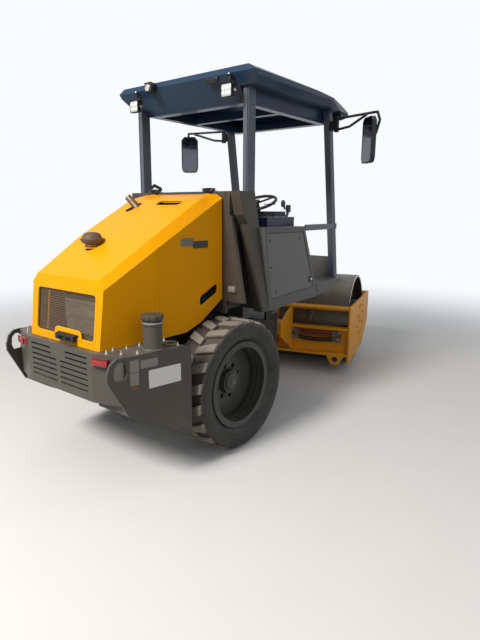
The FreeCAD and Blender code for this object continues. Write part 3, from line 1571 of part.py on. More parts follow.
def make_steering_cylinder():
    """Barrel hinged on the rear frame and rod that reaches the arm of the yoke."""
    anchor = Vector(-dim.cylinder_anchor_x.value, dim.cylinder_anchor_y.value, 0)
    steer = math.radians(dim.steer_angle.value)
    arm = dim.cylinder_arm.value
    eye = Vector(-arm * math.sin(steer), arm * math.cos(steer), 0)
    run = eye - anchor
    turn = Rotation(Vector(1, 0, 0), run)
    z = dim.cylinder_z
    origin = (dim.pivot_x - dim.cylinder_anchor_x, dim.cylinder_anchor_y, z)
    shell = rod("barrel_shell", (0, 0, 0), "X", dim.barrel_length, dim.barrel_radius)
    bore_start = (dim.barrel_bore_start, 0, 0)
    bore = rod("barrel_bore", bore_start, "X", dim.barrel_length, dim.rod_radius + dim.running_fit)
    knuckle = rod("barrel_knuckle", (0, 0, -dim.eye_height / 2), "Z", dim.eye_height, dim.eye_radius)
    pin_hole = rod("barrel_pin_hole", (0, 0, -60), "Z", 120, dim.rod_radius + dim.running_fit)
    barrel = cut("barrel", join("barrel_body", shell, knuckle), bore, pin_hole)
    move_to(barrel, *origin, rotation=turn)
    keep(barrel, "steering_cylinder_barrel")
    shaft = rod("rod_shaft", (-dim.rod_length, 0, 0), "X", dim.rod_length - 8, dim.rod_radius)
    eye_disc = rod("rod_eye", (0, 0, -dim.eye_height / 2), "Z", dim.eye_height, dim.eye_radius)
    whole = join("rod_body", shaft, eye_disc)
    end = anchor + run
    move_to(whole, dim.pivot_x + end.x, end.y, z, turn)
    keep(whole, "steering_cylinder_rod")
    post_low = dim.ear_low_z
    post = rod("anchor_pin", (origin[0], origin[1], post_low), "Z", z - post_low + 60, dim.rod_radius)
    shelf = box(
        "anchor_shelf",
        (origin[0] - 60, origin[0] + 60),
        (dim.cylinder_anchor_y - 60, dim.rail_y),
        (dim.ear_low_z + 60, dim.ear_low_z + 85),
    )
    keep(join("cylinder_anchor_body", post, shelf), "cylinder_anchor")


def make_drum_frame():
    """Side plates, rear beam with the hitch sleeve, front beam and scraper bars."""
    middle = dim.pivot_to_drum
    side = [
        (middle + dim.frame_rear, dim.frame_low_z),
        (middle + 250, dim.frame_low_z + 25),
        (middle + dim.frame_front, dim.beam_low_z + 200),
        (middle + dim.frame_front, dim.frame_top_z),
        (middle + dim.frame_rear, dim.frame_top_z),
    ]
    inner = dim.frame_side_y
    plate = prism("drum_side", "XZ", (inner, inner + dim.frame_side_thickness), side)
    keep(both_sides("drum_sides", plate), "drum_frame_sides", "front")
    rear = middle + dim.frame_rear
    channel = [
        (rear, dim.beam_low_z),
        (rear + dim.beam_depth, dim.beam_low_z),
        (rear + dim.beam_depth, dim.beam_top_z),
        (rear, dim.beam_top_z),
        (rear, dim.beam_top_z - 30),
        (rear + dim.beam_depth - 30, dim.beam_top_z - 30),
        (rear + dim.beam_depth - 30, dim.beam_low_z + 30),
        (rear, dim.beam_low_z + 30),
    ]
    beam = prism("rear_beam", "XZ", (-inner, inner), channel)
    sleeve_radius = dim.trunnion_radius + dim.sleeve_wall
    sleeve_start = (dim.sleeve_start, 0, dim.trunnion_z)
    sleeve = rod("hitch_sleeve", sleeve_start, "X", dim.sleeve_length, sleeve_radius)
    cheeks = []
    for tag, offset in (("right", -90), ("left", 70)):
        corners = [
            (dim.sleeve_start, dim.trunnion_z - 70),
            (rear + 40, dim.beam_low_z + 20),
            (rear + 40, dim.frame_top_z - 40),
            (rear - 40, dim.frame_top_z - 40),
            (dim.sleeve_start, dim.trunnion_z + 75),
        ]
        cheeks.append(prism("hitch_cheek_" + tag, "XZ", (offset, offset + 20), corners))
    web = box(
        "hitch_web",
        (dim.sleeve_start + 80, rear + 40),
        (-80, 80),
        (dim.trunnion_z - 12, dim.trunnion_z + 12),
    )
    eye_outline = [
        (-100, dim.beam_low_z + 40),
        (100, dim.beam_low_z + 40),
        (100, dim.beam_low_z),
        (60, dim.eye_hole_z - 32),
        (35, dim.eye_hole_z - 62),
        (-35, dim.eye_hole_z - 62),
        (-60, dim.eye_hole_z - 32),
        (-100, dim.beam_low_z),
    ]
    eyes = []
    for side_sign, tag in ((-1, "right"), (1, "left")):
        centre = dim.eye_plate_y * side_sign
        outline = [(centre + u, z) for u, z in eye_outline]
        hole = ("circle", centre, dim.eye_hole_z, dim.eye_hole_radius)
        eyes.append(prism("tie_eye_" + tag, "YZ", (rear, rear + dim.eye_plate), outline, hole))
    bore = rod(
        "hitch_bore",
        (dim.sleeve_start - 10, 0, dim.trunnion_z),
        "X",
        dim.trunnion_length - dim.sleeve_start + 20,
        dim.trunnion_radius + dim.running_fit,
    )
    whole = join("rear_beam_whole", beam, sleeve, web, *cheeks, *eyes)
    keep(cut("rear_beam_bored", whole, bore), "drum_frame_rear_beam", "front")
    front = middle + dim.frame_front
    bar_low = dim.frame_top_z - 150
    front_beam = box("front_beam", (front - 70, front), (-inner, inner), (bar_low, dim.frame_top_z))
    keep(front_beam, "drum_frame_front_beam", "front")
    top = dim.scraper_z

    def blade_reach(low):
        """How far from the drum's axis a blade stands whose lower edge is at a height."""
        clear = dim.drum_radius.value + dim.scraper_gap.value
        return math.sqrt(clear ** 2 - (low.value - dim.drum_radius.value) ** 2)

    reach = blade_reach(top - dim.scraper_height)
    rear_bar = box(
        "scraper_rear",
        (rear, middle - reach),
        (-inner, inner),
        (top - 14, top),
    )
    rear_blade = box(
        "scraper_blade_rear",
        (middle - reach - 10, middle - reach),
        (-inner + 20, inner - 20),
        (top - dim.scraper_height, top),
    )
    reach = blade_reach(bar_low + 60)
    front_blade = box(
        "scraper_blade_front",
        (middle + reach, middle + reach + 10),
        (-inner + 20, inner - 20),
        (bar_low + 60, bar_low + 110),
    )
    front_arm = box(
        "scraper_front",
        (middle + reach, front - 70),
        (-inner + 20, inner - 20),
        (bar_low + 60, bar_low + 72),
    )
    rear_scraper = join("scraper_rear_whole", rear_bar, rear_blade)
    front_scraper = join("scraper_front_whole", front_blade, front_arm)
    keep(group("scraper_pair", rear_scraper, front_scraper), "scrapers", "front")


def make_drum_mounts():
    """Carrier and journal on each side that hold the drum in the side plates."""
    middle = dim.pivot_to_drum
    head = dim.drum_width / 2 - dim.drum_head_inset
    start = head + dim.part_gap
    length = dim.frame_side_y - start
    z = dim.drum_radius
    disc = rod("mount_disc", (middle, start + 30, z), "Y", length - 30, 230)
    journal_length = dim.drum_head_thickness + 60
    journal_start = (middle, head - journal_length, z)
    journal = rod("mount_journal", journal_start, "Y", journal_length + 35, dim.drum_journal_radius)
    keep(both_sides("mounts", join("mount", disc, journal)), "drum_mounts", "front")


def make_drum():
    """Steel drum shell with recessed heads, bored for the journals."""
    half = dim.drum_width / 2
    radius = dim.drum_radius
    inner = radius - dim.drum_wall
    head = half - dim.drum_head_inset
    thickness = dim.drum_head_thickness
    bore = dim.drum_journal_radius + dim.running_fit
    corners = [
        (-half, radius),
        (half, radius),
        (half, inner),
        (head, inner),
        (head, bore),
        (head - thickness, bore),
        (head - thickness, inner),
        (-head + thickness, inner),
        (-head + thickness, bore),
        (-head, bore),
        (-head, inner),
        (-half, inner),
    ]
    drum = turned("drum", corners)
    move_to(drum, dim.pivot_to_drum, 0, dim.drum_radius)
    keep(drum, "drum_shell", "front")


def make_hoses():
    """Bundle of hydraulic lines in the rear beam's channel."""
    rear = dim.pivot_to_drum + dim.frame_rear
    lines = []
    for number in range(3):
        z = dim.beam_top_z - 70 - 42 * number
        lines.append(rod(f"hose_{number}", (rear + 28, -dim.eye_plate_y, z), "Y", dim.eye_plate_y * 0.8, 15))
    clamps = []
    for number, y in enumerate((-dim.eye_plate_y, -dim.eye_plate_y * 0.3)):
        depth = (rear + 12, rear + dim.beam_depth - 30)
        height = (dim.beam_top_z - 175, dim.beam_top_z - 45)
        clamps.append(box(f"hose_clamp_{number}", depth, (y, y + 40), height))
    keep(join("hose_bundle", *lines, *clamps), "hydraulic_lines", "front")


make_chassis()
make_articulation_bracket()
make_axle()
make_engine()
make_tanks()
make_filler()
make_bumper()
make_tail_lights()
make_hood()
make_grille()
make_latch()
make_exhaust()
make_intake()
make_bulkhead()
make_side_legs()
make_platform()
make_console()
make_rear_posts()
make_front_posts()
make_roof()
make_roof_frame()
make_lamps()
make_mirrors()
make_handrails()
make_seat()
make_steering_column()
make_wheels()
make_yoke()
make_steering_cylinder()
make_drum_frame()
make_drum_mounts()
make_drum()
make_hoses()
doc.recompute()


def place_parts():
    """Turn the front frame about the pivot, then put the origin under the machine's middle."""
    turn = Rotation(Vector(0, 0, 1), dim.steer_angle.value)
    steer = Placement(Vector(dim.pivot_x.value, 0, 0), turn)
    for piece, frame in parts:
        if frame == "front":
            piece.setExpression("Placement.Base.x", None)
            piece.setExpression("Placement.Base.y", None)
            piece.Placement = steer.multiply(piece.Placement)
    doc.recompute()
    bounds = FreeCAD.BoundBox()
    for piece, frame in parts:
        bounds.add(piece.Shape.BoundBox)
    middle = Vector(bounds.Center.x, bounds.Center.y, bounds.ZMin)
    for piece, frame in parts:
        for axis in "xyz":
            piece.setExpression(f"Placement.Base.{axis}", None)
        piece.Placement = Placement(-middle, Rotation()).multiply(piece.Placement)
    doc.recompute()
    return middle


middle = place_parts()

for obj in doc.Objects:
    if "Invalid" in obj.State or "Error" in obj.State:
        raise RuntimeError(f"{obj.Name} did not build: {obj.State}")
for piece, frame in parts:
    if piece.Shape.isNull() or not piece.Shape.isValid():
        raise RuntimeError(f"{piece.Label} has no valid shape")

os.makedirs("parts", exist_ok=True)
for piece, frame in parts:
    piece.Shape.exportStep(f"parts/{piece.Label}.step")
print(len(parts), "sub-parts; origin at", middle)
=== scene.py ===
import math

import bmesh
import bpy
import numpy as np
from bpy.props import FloatProperty, FloatVectorProperty, IntProperty, PointerProperty
from bpy.types import Operator, Panel, PropertyGroup
from mathutils import Matrix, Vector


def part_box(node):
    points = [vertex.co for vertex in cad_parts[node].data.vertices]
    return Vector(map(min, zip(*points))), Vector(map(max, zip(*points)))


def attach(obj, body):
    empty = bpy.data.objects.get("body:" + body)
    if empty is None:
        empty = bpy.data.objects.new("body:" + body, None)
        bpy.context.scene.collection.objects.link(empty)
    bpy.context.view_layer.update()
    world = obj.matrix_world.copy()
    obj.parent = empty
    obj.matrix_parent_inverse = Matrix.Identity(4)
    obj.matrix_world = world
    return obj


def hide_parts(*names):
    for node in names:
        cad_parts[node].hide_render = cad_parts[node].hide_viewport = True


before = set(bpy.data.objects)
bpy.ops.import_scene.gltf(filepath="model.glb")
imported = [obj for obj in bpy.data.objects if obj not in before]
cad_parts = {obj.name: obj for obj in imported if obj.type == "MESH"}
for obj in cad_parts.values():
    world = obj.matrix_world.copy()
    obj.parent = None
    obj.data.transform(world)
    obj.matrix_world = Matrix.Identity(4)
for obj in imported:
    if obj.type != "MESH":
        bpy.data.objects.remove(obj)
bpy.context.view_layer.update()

bl_info = {
    "name": "Road roller looks",
    "version": (1, 0, 0),
    "blender": (4, 5, 0),
    "location": "3D View > Sidebar > Road roller",
    "description": "Finishes and small pieces of a single-drum road roller round its fixed frame",
    "category": "Object",
}

# Axes of the machine, in metres: X forward, Y to the left, Z up. Its zero lies under the
# articulation's line, 926 mm ahead of the wheels' axle, midway between the wheels.
AXLE_AHEAD = 0.926
AXLE_HEIGHT = 0.505
WHEEL_Y = 0.580
PIVOT_X = 0.450
STEER = math.radians(16.2)
PIVOT_TO_DRUM = 1.220
DRUM_AXIS_Z = 0.530
BEAM_BEHIND_DRUM = 0.680
TANK_TOP = 0.940
FILLER_X, FILLER_Y = -1.720, -0.590
HOOD_SLOPE = 0.548
HOOD_SLOPE_OUT = np.array((-HOOD_SLOPE, 0, 1.0)) / math.hypot(HOOD_SLOPE, 1.0)
HOOD_SLOPE_X, HOOD_SLOPE_Z = -1.540, 1.622
SIDE_PLATE_X, SIDE_PLATE_Y = -1.480, 0.700
SIDE_PLATE_LEAN = (SIDE_PLATE_Y - 0.618) / 0.470


def wheel_middle(tag):
    low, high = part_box("tyre_" + tag)
    return (np.array(low) + np.array(high)) / 2


ZERO = (wheel_middle("left") + wheel_middle("right")) / 2 * (1, 1, 0) + (AXLE_AHEAD, 0, 0)
TURN = np.array(
    [
        [math.cos(STEER), -math.sin(STEER), 0],
        [math.sin(STEER), math.cos(STEER), 0],
        [0, 0, 1],
    ]
)


def spot(x, y, z):
    """A point of the rear frame's axes in the row frame."""
    return ZERO + (x, y, z)


def front_spot(u, v, z):
    """A point of the front frame's axes, which start at the pivot, in the row frame."""
    return ZERO + (PIVOT_X, 0, 0) + TURN @ (u, v, z)


# Shapes as whole arrays


class Shape:
    """Points with the faces between them; faces are kept in blocks of one corner count."""

    def __init__(self, points, *blocks):
        self.points = np.asarray(points, dtype=float).reshape(-1, 3)
        self.blocks = [np.asarray(block, dtype=int) for block in blocks if len(block)]

    def turned(self, axes):
        """Every point carried into axes whose columns are the new x, y and z."""
        return Shape(self.points @ np.asarray(axes, dtype=float).T, *self.blocks)

    def moved(self, offset):
        return Shape(self.points + np.asarray(offset, dtype=float), *self.blocks)

    def scaled(self, factors):
        return Shape(self.points * np.asarray(factors, dtype=float), *self.blocks)


def together(*shapes):
    """Several shapes as one, each block of faces counted on past the points before it."""
    starts = np.cumsum([0] + [len(shape.points) for shape in shapes[:-1]])
    points = np.concatenate([shape.points for shape in shapes])
    blocks = [block + start for shape, start in zip(shapes, starts) for block in shape.blocks]
    return Shape(points, *blocks)


def repeated(shape, origins):
    """A copy of a shape at each origin."""
    origins = np.asarray(origins, dtype=float).reshape(-1, 3)
    points = shape.points[None] + origins[:, None]
    starts = np.arange(len(origins)) * len(shape.points)
    blocks = [
        (block[None] + starts[:, None, None]).reshape(-1, block.shape[1]) for block in shape.blocks
    ]
    return Shape(points, *blocks)


def grid_faces(rows, columns, around=False, over=False):
    """Four-cornered faces of a grid kept row by row; around and over join its far edges."""
    down, across = np.meshgrid(
        np.arange(rows if over else rows - 1),
        np.arange(columns if around else columns - 1),
        indexing="ij",
    )
    near, far = down * columns, (down + 1) % rows * columns
    beside = (across + 1) % columns
    corners = (near + across, near + beside, far + beside, far + across)
    return np.stack(corners, axis=-1).reshape(-1, 4)


def spun(profile, segments=32, axis="z"):
    """A profile of (height, radius) pairs turned once round an axis: each point is
    radius times (cosine, sine) of the angle, at its height. Its two ends are closed."""
    height, radius = np.asarray(profile, dtype=float).T
    angle = np.arange(segments) * 2 * math.pi / segments
    across = radius[:, None] * np.cos(angle)
    along = radius[:, None] * np.sin(angle)
    up = np.repeat(height[:, None], segments, axis=1)
    order = {"z": (across, along, up), "y": (across, up, -along), "x": (up, across, along)}[axis]
    points = np.stack(order, axis=-1)
    rings = np.arange(len(height) * segments).reshape(len(height), segments)
    return Shape(points, grid_faces(len(height), segments, around=True), rings[:1, ::-1], rings[-1:])


def ring_band(profile, segments=64, axis="z"):
    """A closed profile of (height, radius) pairs turned round an axis into a ring."""
    shape = spun(profile, segments, axis)
    return Shape(shape.points, grid_faces(len(profile), segments, around=True, over=True))


def slab(outline, low, high):
    """An outline of (x, y) corners between two heights, with flat ends."""
    outline = np.asarray(outline, dtype=float)
    count = len(outline)
    levels = [np.column_stack([outline, np.full(count, level)]) for level in (low, high)]
    rings = np.arange(2 * count).reshape(2, count)
    return Shape(np.concatenate(levels), grid_faces(2, count, around=True), rings[:1, ::-1], rings[1:])


def holed_plate(outer, inner, low, high):
    """A flat ring between two outlines with as many corners, from one height to another."""
    rings = ((outer, low), (outer, high), (inner, high), (inner, low))
    points = [np.column_stack([outline, np.full(len(outline), level)]) for outline, level in rings]
    return Shape(np.concatenate(points), grid_faces(4, len(outer), around=True, over=True))


def rounded_outline(width, height, radius, steps=5):
    """A rectangle's outline whose corners are quarter circles, a corner point plus the
    radius times (cosine, sine)."""
    angle = np.linspace(0, math.pi / 2, steps)[None] + np.arange(4)[:, None] * math.pi / 2
    signs = np.array([(1, 1), (-1, 1), (-1, -1), (1, -1)])
    corner = signs * (width / 2 - radius, height / 2 - radius)
    points = corner[:, None] + radius * np.stack([np.cos(angle), np.sin(angle)], axis=-1)
    return points.reshape(-1, 2)


def rounded_block(length, width, height, radius, steps=3):
    """A block with round edges: the corner of a smaller block plus the radius times a
    direction on the sphere, over a grid of the two angles."""
    quarter = np.linspace(0, math.pi / 2, steps)
    around = (quarter[None] + np.arange(4)[:, None] * math.pi / 2).ravel()
    sign_x = np.repeat((1, -1, -1, 1), steps)
    sign_y = np.repeat((1, 1, -1, -1), steps)
    rise = np.concatenate([quarter - math.pi / 2, quarter])
    sign_z = np.repeat((-1, 1), steps)
    flat = np.cos(rise)[:, None]
    core = np.array([length, width, height]) / 2 - radius
    x = core[0] * sign_x + radius * flat * np.cos(around)
    y = core[1] * sign_y + radius * flat * np.sin(around)
    z = (core[2] * sign_z + radius * np.sin(rise))[:, None] + 0 * x
    rings = np.arange(2 * steps * 4 * steps).reshape(2 * steps, 4 * steps)
    ends = (rings[:1, ::-1], rings[-1:])
    return Shape(np.stack([x, y, z], axis=-1), grid_faces(2 * steps, 4 * steps, around=True), *ends)


def carried(outline, path, up=(0, 0, 1), closed=False):
    """An outline of (side, rise) points carried along a path. At each path point the side
    runs along the cross product of up and the path's direction, the rise across both."""
    path = np.asarray(path, dtype=float)
    outline = np.asarray(outline, dtype=float)
    if closed:
        ahead = np.roll(path, -1, axis=0) - np.roll(path, 1, axis=0)
    else:
        ahead = np.gradient(path, axis=0)
    ahead /= np.linalg.norm(ahead, axis=1, keepdims=True)
    side = np.cross(np.broadcast_to(up, ahead.shape), ahead)
    side /= np.linalg.norm(side, axis=1, keepdims=True)
    rise = np.cross(ahead, side)
    points = path[:, None] + outline[None, :, :1] * side[:, None] + outline[None, :, 1:] * rise[:, None]
    rows, columns = points.shape[:2]
    faces = grid_faces(rows, columns, around=True, over=closed)
    if closed:
        return Shape(points, faces)
    rings = np.arange(rows * columns).reshape(rows, columns)
    return Shape(points, faces, rings[:1, ::-1], rings[-1:])


def circle(radius, count=12):
    """Points (radius cosine, radius sine) round a circle."""
    angle = np.arange(count) * 2 * math.pi / count
    return radius * np.column_stack([np.cos(angle), np.sin(angle)])


def smooth_path(points, per_run=8):
    """A Catmull-Rom curve through points: each run is the cubic whose ends' slopes are half
    the step between the neighbours."""
    points = np.asarray(points, dtype=float)
    ends = np.concatenate([[2 * points[0] - points[1]], points, [2 * points[-1] - points[-2]]])
    a, b, c, d = ends[:-3], ends[1:-2], ends[2:-1], ends[3:]
    t = (np.arange(per_run) / per_run)[None, :, None]
    a, b, c, d = (part[:, None] for part in (a, b, c, d))
    curve = 0.5 * (2 * b + (c - a) * t + (2 * a - 5 * b + 4 * c - d) * t**2 + (3 * b - a - 3 * c + d) * t**3)
    return np.concatenate([curve.reshape(-1, 3), points[-1:]])


def axes_from(outward):
    """Axes whose z points outward and whose x lies level."""
    outward = np.asarray(outward, dtype=float)
    outward = outward / np.linalg.norm(outward)
    side = np.cross((0, 0, 1), outward)
    side /= np.linalg.norm(side)
    return np.column_stack([side, np.cross(outward, side), outward])


def hex_bolt(size=0.019, height=0.011):
    """A six-sided head with a chamfered crown, on a round washer."""
    head = spun([(0, size / 2 * 1.1), (height * 0.75, size / 2 * 1.1), (height, size / 2 * 0.9)], 6)
    thickness = 0.0025
    washer = spun([(0, size * 0.8), (thickness, size * 0.8)], 16)
    return together(washer, head.moved((0, 0, thickness)))


def countersunk(size=0.014, height=0.003):
    """A low round screw head whose profile is a flat crown with a short slope."""
    profile = [(0, size / 2), (height * 0.6, size / 2), (height, size * 0.36), (height * 0.5, size * 0.16)]
    return spun(profile, 16)


def make_piece(name, body, parts, crease=38):
    """A mesh from shapes, each with its finish, that rides on a body."""
    shapes = [shape for shape, finish in parts]
    finishes = [finish for shape, finish in parts]
    whole = together(*shapes)
    faces = [face for block in whole.blocks for face in block.tolist()]
    mesh = bpy.data.meshes.new(name)
    mesh.from_pydata(whole.points.tolist(), [], faces)
    names = list(dict.fromkeys(finishes))
    for finish in names:
        mesh.materials.append(bpy.data.materials[finish])
    counts = [sum(len(block) for block in shape.blocks) for shape in shapes]
    index = np.repeat([names.index(finish) for finish in finishes], counts)
    mesh.polygons.foreach_set("material_index", index.astype(np.int32))
    work = bmesh.new()
    work.from_mesh(mesh)
    bmesh.ops.remove_doubles(work, verts=work.verts, dist=1e-6)
    bmesh.ops.recalc_face_normals(work, faces=work.faces)
    work.to_mesh(mesh)
    work.free()
    mesh.shade_smooth()
    mesh.set_sharp_from_angle(angle=math.radians(crease))
    piece = bpy.data.objects.new(name, mesh)
    bpy.context.scene.collection.objects.link(piece)
    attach(piece, body)
    return piece


# Sizes and colours


class RollerSizes(PropertyGroup):
    """Sizes of the added pieces that a user would change."""

    lug_height: FloatProperty(
        name="Lug height", description="How far the tyre's lugs stand out of the tread",
        default=0.034, min=0.01, max=0.05, unit="LENGTH",
    )
    lug_width: FloatProperty(
        name="Lug width", description="Width of a lug at the tyre's shoulder",
        default=0.0770, min=0.04, max=0.12, unit="LENGTH",
    )
    lug_middle_width: FloatProperty(
        name="Lug width in the middle", description="Width of a lug at the middle of the tread",
        default=0.0592, min=0.03, max=0.10, unit="LENGTH",
    )
    lug_sweep: FloatProperty(
        name="Lug sweep", description="How far a lug runs forward from the middle to the shoulder",
        default=0.056, min=0.0, max=0.10, unit="LENGTH",
    )
    lug_count: IntProperty(
        name="Lugs a side", description="Number of lugs on each half of the tread", default=20, min=8, max=32,
    )
    grille_pitch: FloatProperty(
        name="Grille pitch", description="Distance between the grille's wires",
        default=0.0115, min=0.005, max=0.03, unit="LENGTH",
    )
    bolt_size: FloatProperty(
        name="Bolt size", description="Width across the flats of the visible bolts",
        default=0.016, min=0.01, max=0.04, unit="LENGTH",
    )
    cushion_swell: FloatProperty(
        name="Cushion swell", description="How far a seat cushion's skin may swell",
        default=0.022, min=0.0, max=0.04, unit="LENGTH",
    )


class RollerColours(PropertyGroup):
    """Colours of the paints, steels and plastics."""

    yellow: FloatVectorProperty(
        name="Yellow paint", description="Hood, drum frame and other yellow sheet metal",
        subtype="COLOR", size=3, default=(0.95, 0.395, 0.002), min=0, max=1,
    )
    tank_grey: FloatVectorProperty(
        name="Tank grey", description="Bumper and side tanks",
        subtype="COLOR", size=3, default=(0.096, 0.090, 0.076), min=0, max=1,
    )
    cab_grey: FloatVectorProperty(
        name="Cab grey", description="Posts and rails",
        subtype="COLOR", size=3, default=(0.100, 0.122, 0.156), min=0, max=1,
    )
    console_grey: FloatVectorProperty(
        name="Console grey", description="Console, platform and front wall",
        subtype="COLOR", size=3, default=(0.118, 0.117, 0.110), min=0, max=1,
    )
    cover_grey: FloatVectorProperty(
        name="Cover grey", description="Paler panel on the console",
        subtype="COLOR", size=3, default=(0.185, 0.183, 0.181), min=0, max=1,
    )
    leg_brown: FloatVectorProperty(
        name="Leg grey-brown", description="Side legs and the wall behind the hood",
        subtype="COLOR", size=3, default=(0.070, 0.060, 0.047), min=0, max=1,
    )
    roof_navy: FloatVectorProperty(
        name="Roof paint", description="Roof panel and its frame",
        subtype="COLOR", size=3, default=(0.020, 0.050, 0.100), min=0, max=1,
    )
    black: FloatVectorProperty(
        name="Black paint", description="Small black parts and the chassis",
        subtype="COLOR", size=3, default=(0.018, 0.018, 0.018), min=0, max=1,
    )
    rim_grey: FloatVectorProperty(
        name="Rim grey", description="Wheel rims",
        subtype="COLOR", size=3, default=(0.050, 0.052, 0.044), min=0, max=1,
    )
    rubber: FloatVectorProperty(
        name="Rubber", description="Tyres",
        subtype="COLOR", size=3, default=(0.0236, 0.0236, 0.0217), min=0, max=1,
    )
    dust: FloatVectorProperty(
        name="Road dust", description="Dust on treads and upward faces",
        subtype="COLOR", size=3, default=(0.31, 0.275, 0.230), min=0, max=1,
    )
    drum: FloatVectorProperty(
        name="Drum steel", description="Rolled steel of the drum",
        subtype="COLOR", size=3, default=(0.122, 0.115, 0.093), min=0, max=1,
    )
    vinyl: FloatVectorProperty(
        name="Seat vinyl", description="Seat cushions",
        subtype="COLOR", size=3, default=(0.02, 0.02, 0.022), min=0, max=1,
    )


def sizes():
    return bpy.context.scene.roller_sizes


def colours():
    return bpy.context.scene.roller_colours


# Shader node groups


class Tree:
    """Adds nodes to a tree; an input is a number, a colour or the socket that feeds it."""

    def __init__(self, tree):
        self.tree = tree

    def feed(self, node, inputs):
        """Gives a node that is there already its inputs."""
        for socket, value in dict(inputs).items():
            if isinstance(value, bpy.types.NodeSocket):
                self.tree.links.new(value, node.inputs[socket])
            else:
                node.inputs[socket].default_value = value

    def add(self, kind, inputs=(), **settings):
        node = self.tree.nodes.new(kind)
        for name, value in settings.items():
            setattr(node, name, value)
        self.feed(node, inputs)
        return node

    def maths(self, operation, *values, clamp=False):
        node = self.add("ShaderNodeMath", dict(enumerate(values)), operation=operation, use_clamp=clamp)
        return node.outputs[0]

    def blend(self, factor, first, second, mode="MIX"):
        inputs = {0: factor, 6: first, 7: second}
        return self.add("ShaderNodeMix", inputs, data_type="RGBA", blend_type=mode).outputs[2]

    def ramp(self, value, low, high):
        """0 below low, 1 above high, smooth between."""
        inputs = {0: value, 1: low, 2: high, 3: 0.0, 4: 1.0}
        node = self.add("ShaderNodeMapRange", inputs, interpolation_type="SMOOTHSTEP")
        return node.outputs[0]

    def noise(self, vector, scale, detail=4.0, roughness=0.6):
        inputs = {"Vector": vector, "Scale": scale, "Detail": detail, "Roughness": roughness}
        return self.add("ShaderNodeTexNoise", inputs).outputs["Fac"]

    def bump(self, height, strength, distance, **more):
        inputs = {"Height": height, "Strength": strength, "Distance": distance, **more}
        return self.add("ShaderNodeBump", inputs).outputs[0]

    def vectors(self, operation, first, second):
        return self.add("ShaderNodeVectorMath", {0: first, 1: second}, operation=operation).outputs


def new_group(name, inputs, outputs):
    """An empty node group with named sockets, the sockets inside it and its end node."""
    group = bpy.data.node_groups.new(name, "ShaderNodeTree")
    for label, kind, value in inputs:
        socket = group.interface.new_socket(label, in_out="INPUT", socket_type=kind)
        if value is not None:
            socket.default_value = value
    for label, kind in outputs:
        group.interface.new_socket(label, in_out="OUTPUT", socket_type=kind)
    entry = group.nodes.new("NodeGroupInput")
    return Tree(group), entry.outputs, group.nodes.new("NodeGroupOutput")


COLOUR, NUMBER, VECTOR = "NodeSocketColor", "NodeSocketFloat", "NodeSocketVector"


def group_settled_dust():
    """Dust that lies on upward faces and rises from the ground, in patches, over a paint
    whose shade drifts a little."""
    tree, given, out = new_group(
        "settled dust",
        (
            ("Vector", VECTOR, None), ("Colour", COLOUR, (0.5, 0.5, 0.5, 1)),
            ("Dust Colour", COLOUR, (0.34, 0.27, 0.19, 1)), ("Top Dust", NUMBER, 0.2),
            ("Low Dust", NUMBER, 0.2), ("Dust Height", NUMBER, 1.0), ("Shade Drift", NUMBER, 0.1),
        ),
        (("Colour", COLOUR), ("Mask", NUMBER)),
    )
    wide = tree.noise(given["Vector"], 2.1, 3.0)
    fine = tree.noise(given["Vector"], 38.0, 6.0, 0.7)
    middle = tree.noise(given["Vector"], 9.0, 5.0)
    normal = tree.add("ShaderNodeSeparateXYZ", {0: tree.add("ShaderNodeNewGeometry").outputs["Normal"]})
    up = tree.ramp(normal.outputs[2], 0.1, 1.0)
    place = tree.add("ShaderNodeSeparateXYZ", {0: given["Vector"]})
    drop = tree.maths("DIVIDE", place.outputs[2], given["Dust Height"])
    low = tree.maths("SUBTRACT", 1.0, tree.ramp(drop, 0.0, 1.0))
    top_part = tree.maths("MULTIPLY", up, given["Top Dust"])
    low_part = tree.maths("MULTIPLY", low, given["Low Dust"])
    amount = tree.maths("ADD", top_part, low_part)
    patches = tree.maths("MULTIPLY", tree.ramp(middle, 0.3, 0.75), 1.4)
    grains = tree.maths("MULTIPLY_ADD", tree.ramp(fine, 0.35, 0.7), 0.7, 0.35)
    mask = tree.maths("MULTIPLY", tree.maths("MULTIPLY", patches, grains), amount, clamp=True)
    drift = tree.maths("MULTIPLY_ADD", tree.maths("SUBTRACT", wide, 0.5), given["Shade Drift"], 1.0)
    grey = tree.add("ShaderNodeCombineColor", {0: drift, 1: drift, 2: drift}).outputs[0]
    shaded = tree.blend(1.0, given["Colour"], grey, "MULTIPLY")
    tree.feed(out, {"Colour": tree.blend(mask, shaded, given["Dust Colour"]), "Mask": mask})


def group_worn_edges():
    """Paint rubbed off along edges: where the rounded normal leaves the flat one, in
    broken spots."""
    tree, given, out = new_group(
        "worn edges",
        (
            ("Vector", VECTOR, None), ("Colour", COLOUR, (0.5, 0.5, 0.5, 1)),
            ("Worn Colour", COLOUR, (0.3, 0.3, 0.3, 1)), ("Rounded Normal", VECTOR, None),
            ("Amount", NUMBER, 0.4),
        ),
        (("Colour", COLOUR), ("Mask", NUMBER)),
    )
    flat = tree.add("ShaderNodeNewGeometry").outputs["Normal"]
    likeness = tree.vectors("DOT_PRODUCT", flat, given["Rounded Normal"])["Value"]
    edge = tree.ramp(tree.maths("SUBTRACT", 1.0, likeness), 0.02, 0.2)
    broken = tree.ramp(tree.noise(given["Vector"], 26.0, 6.0, 0.75), 0.46, 0.62)
    mask = tree.maths("MULTIPLY", tree.maths("MULTIPLY", edge, broken), given["Amount"], clamp=True)
    tree.feed(out, {"Colour": tree.blend(mask, given["Colour"], given["Worn Colour"]), "Mask": mask})


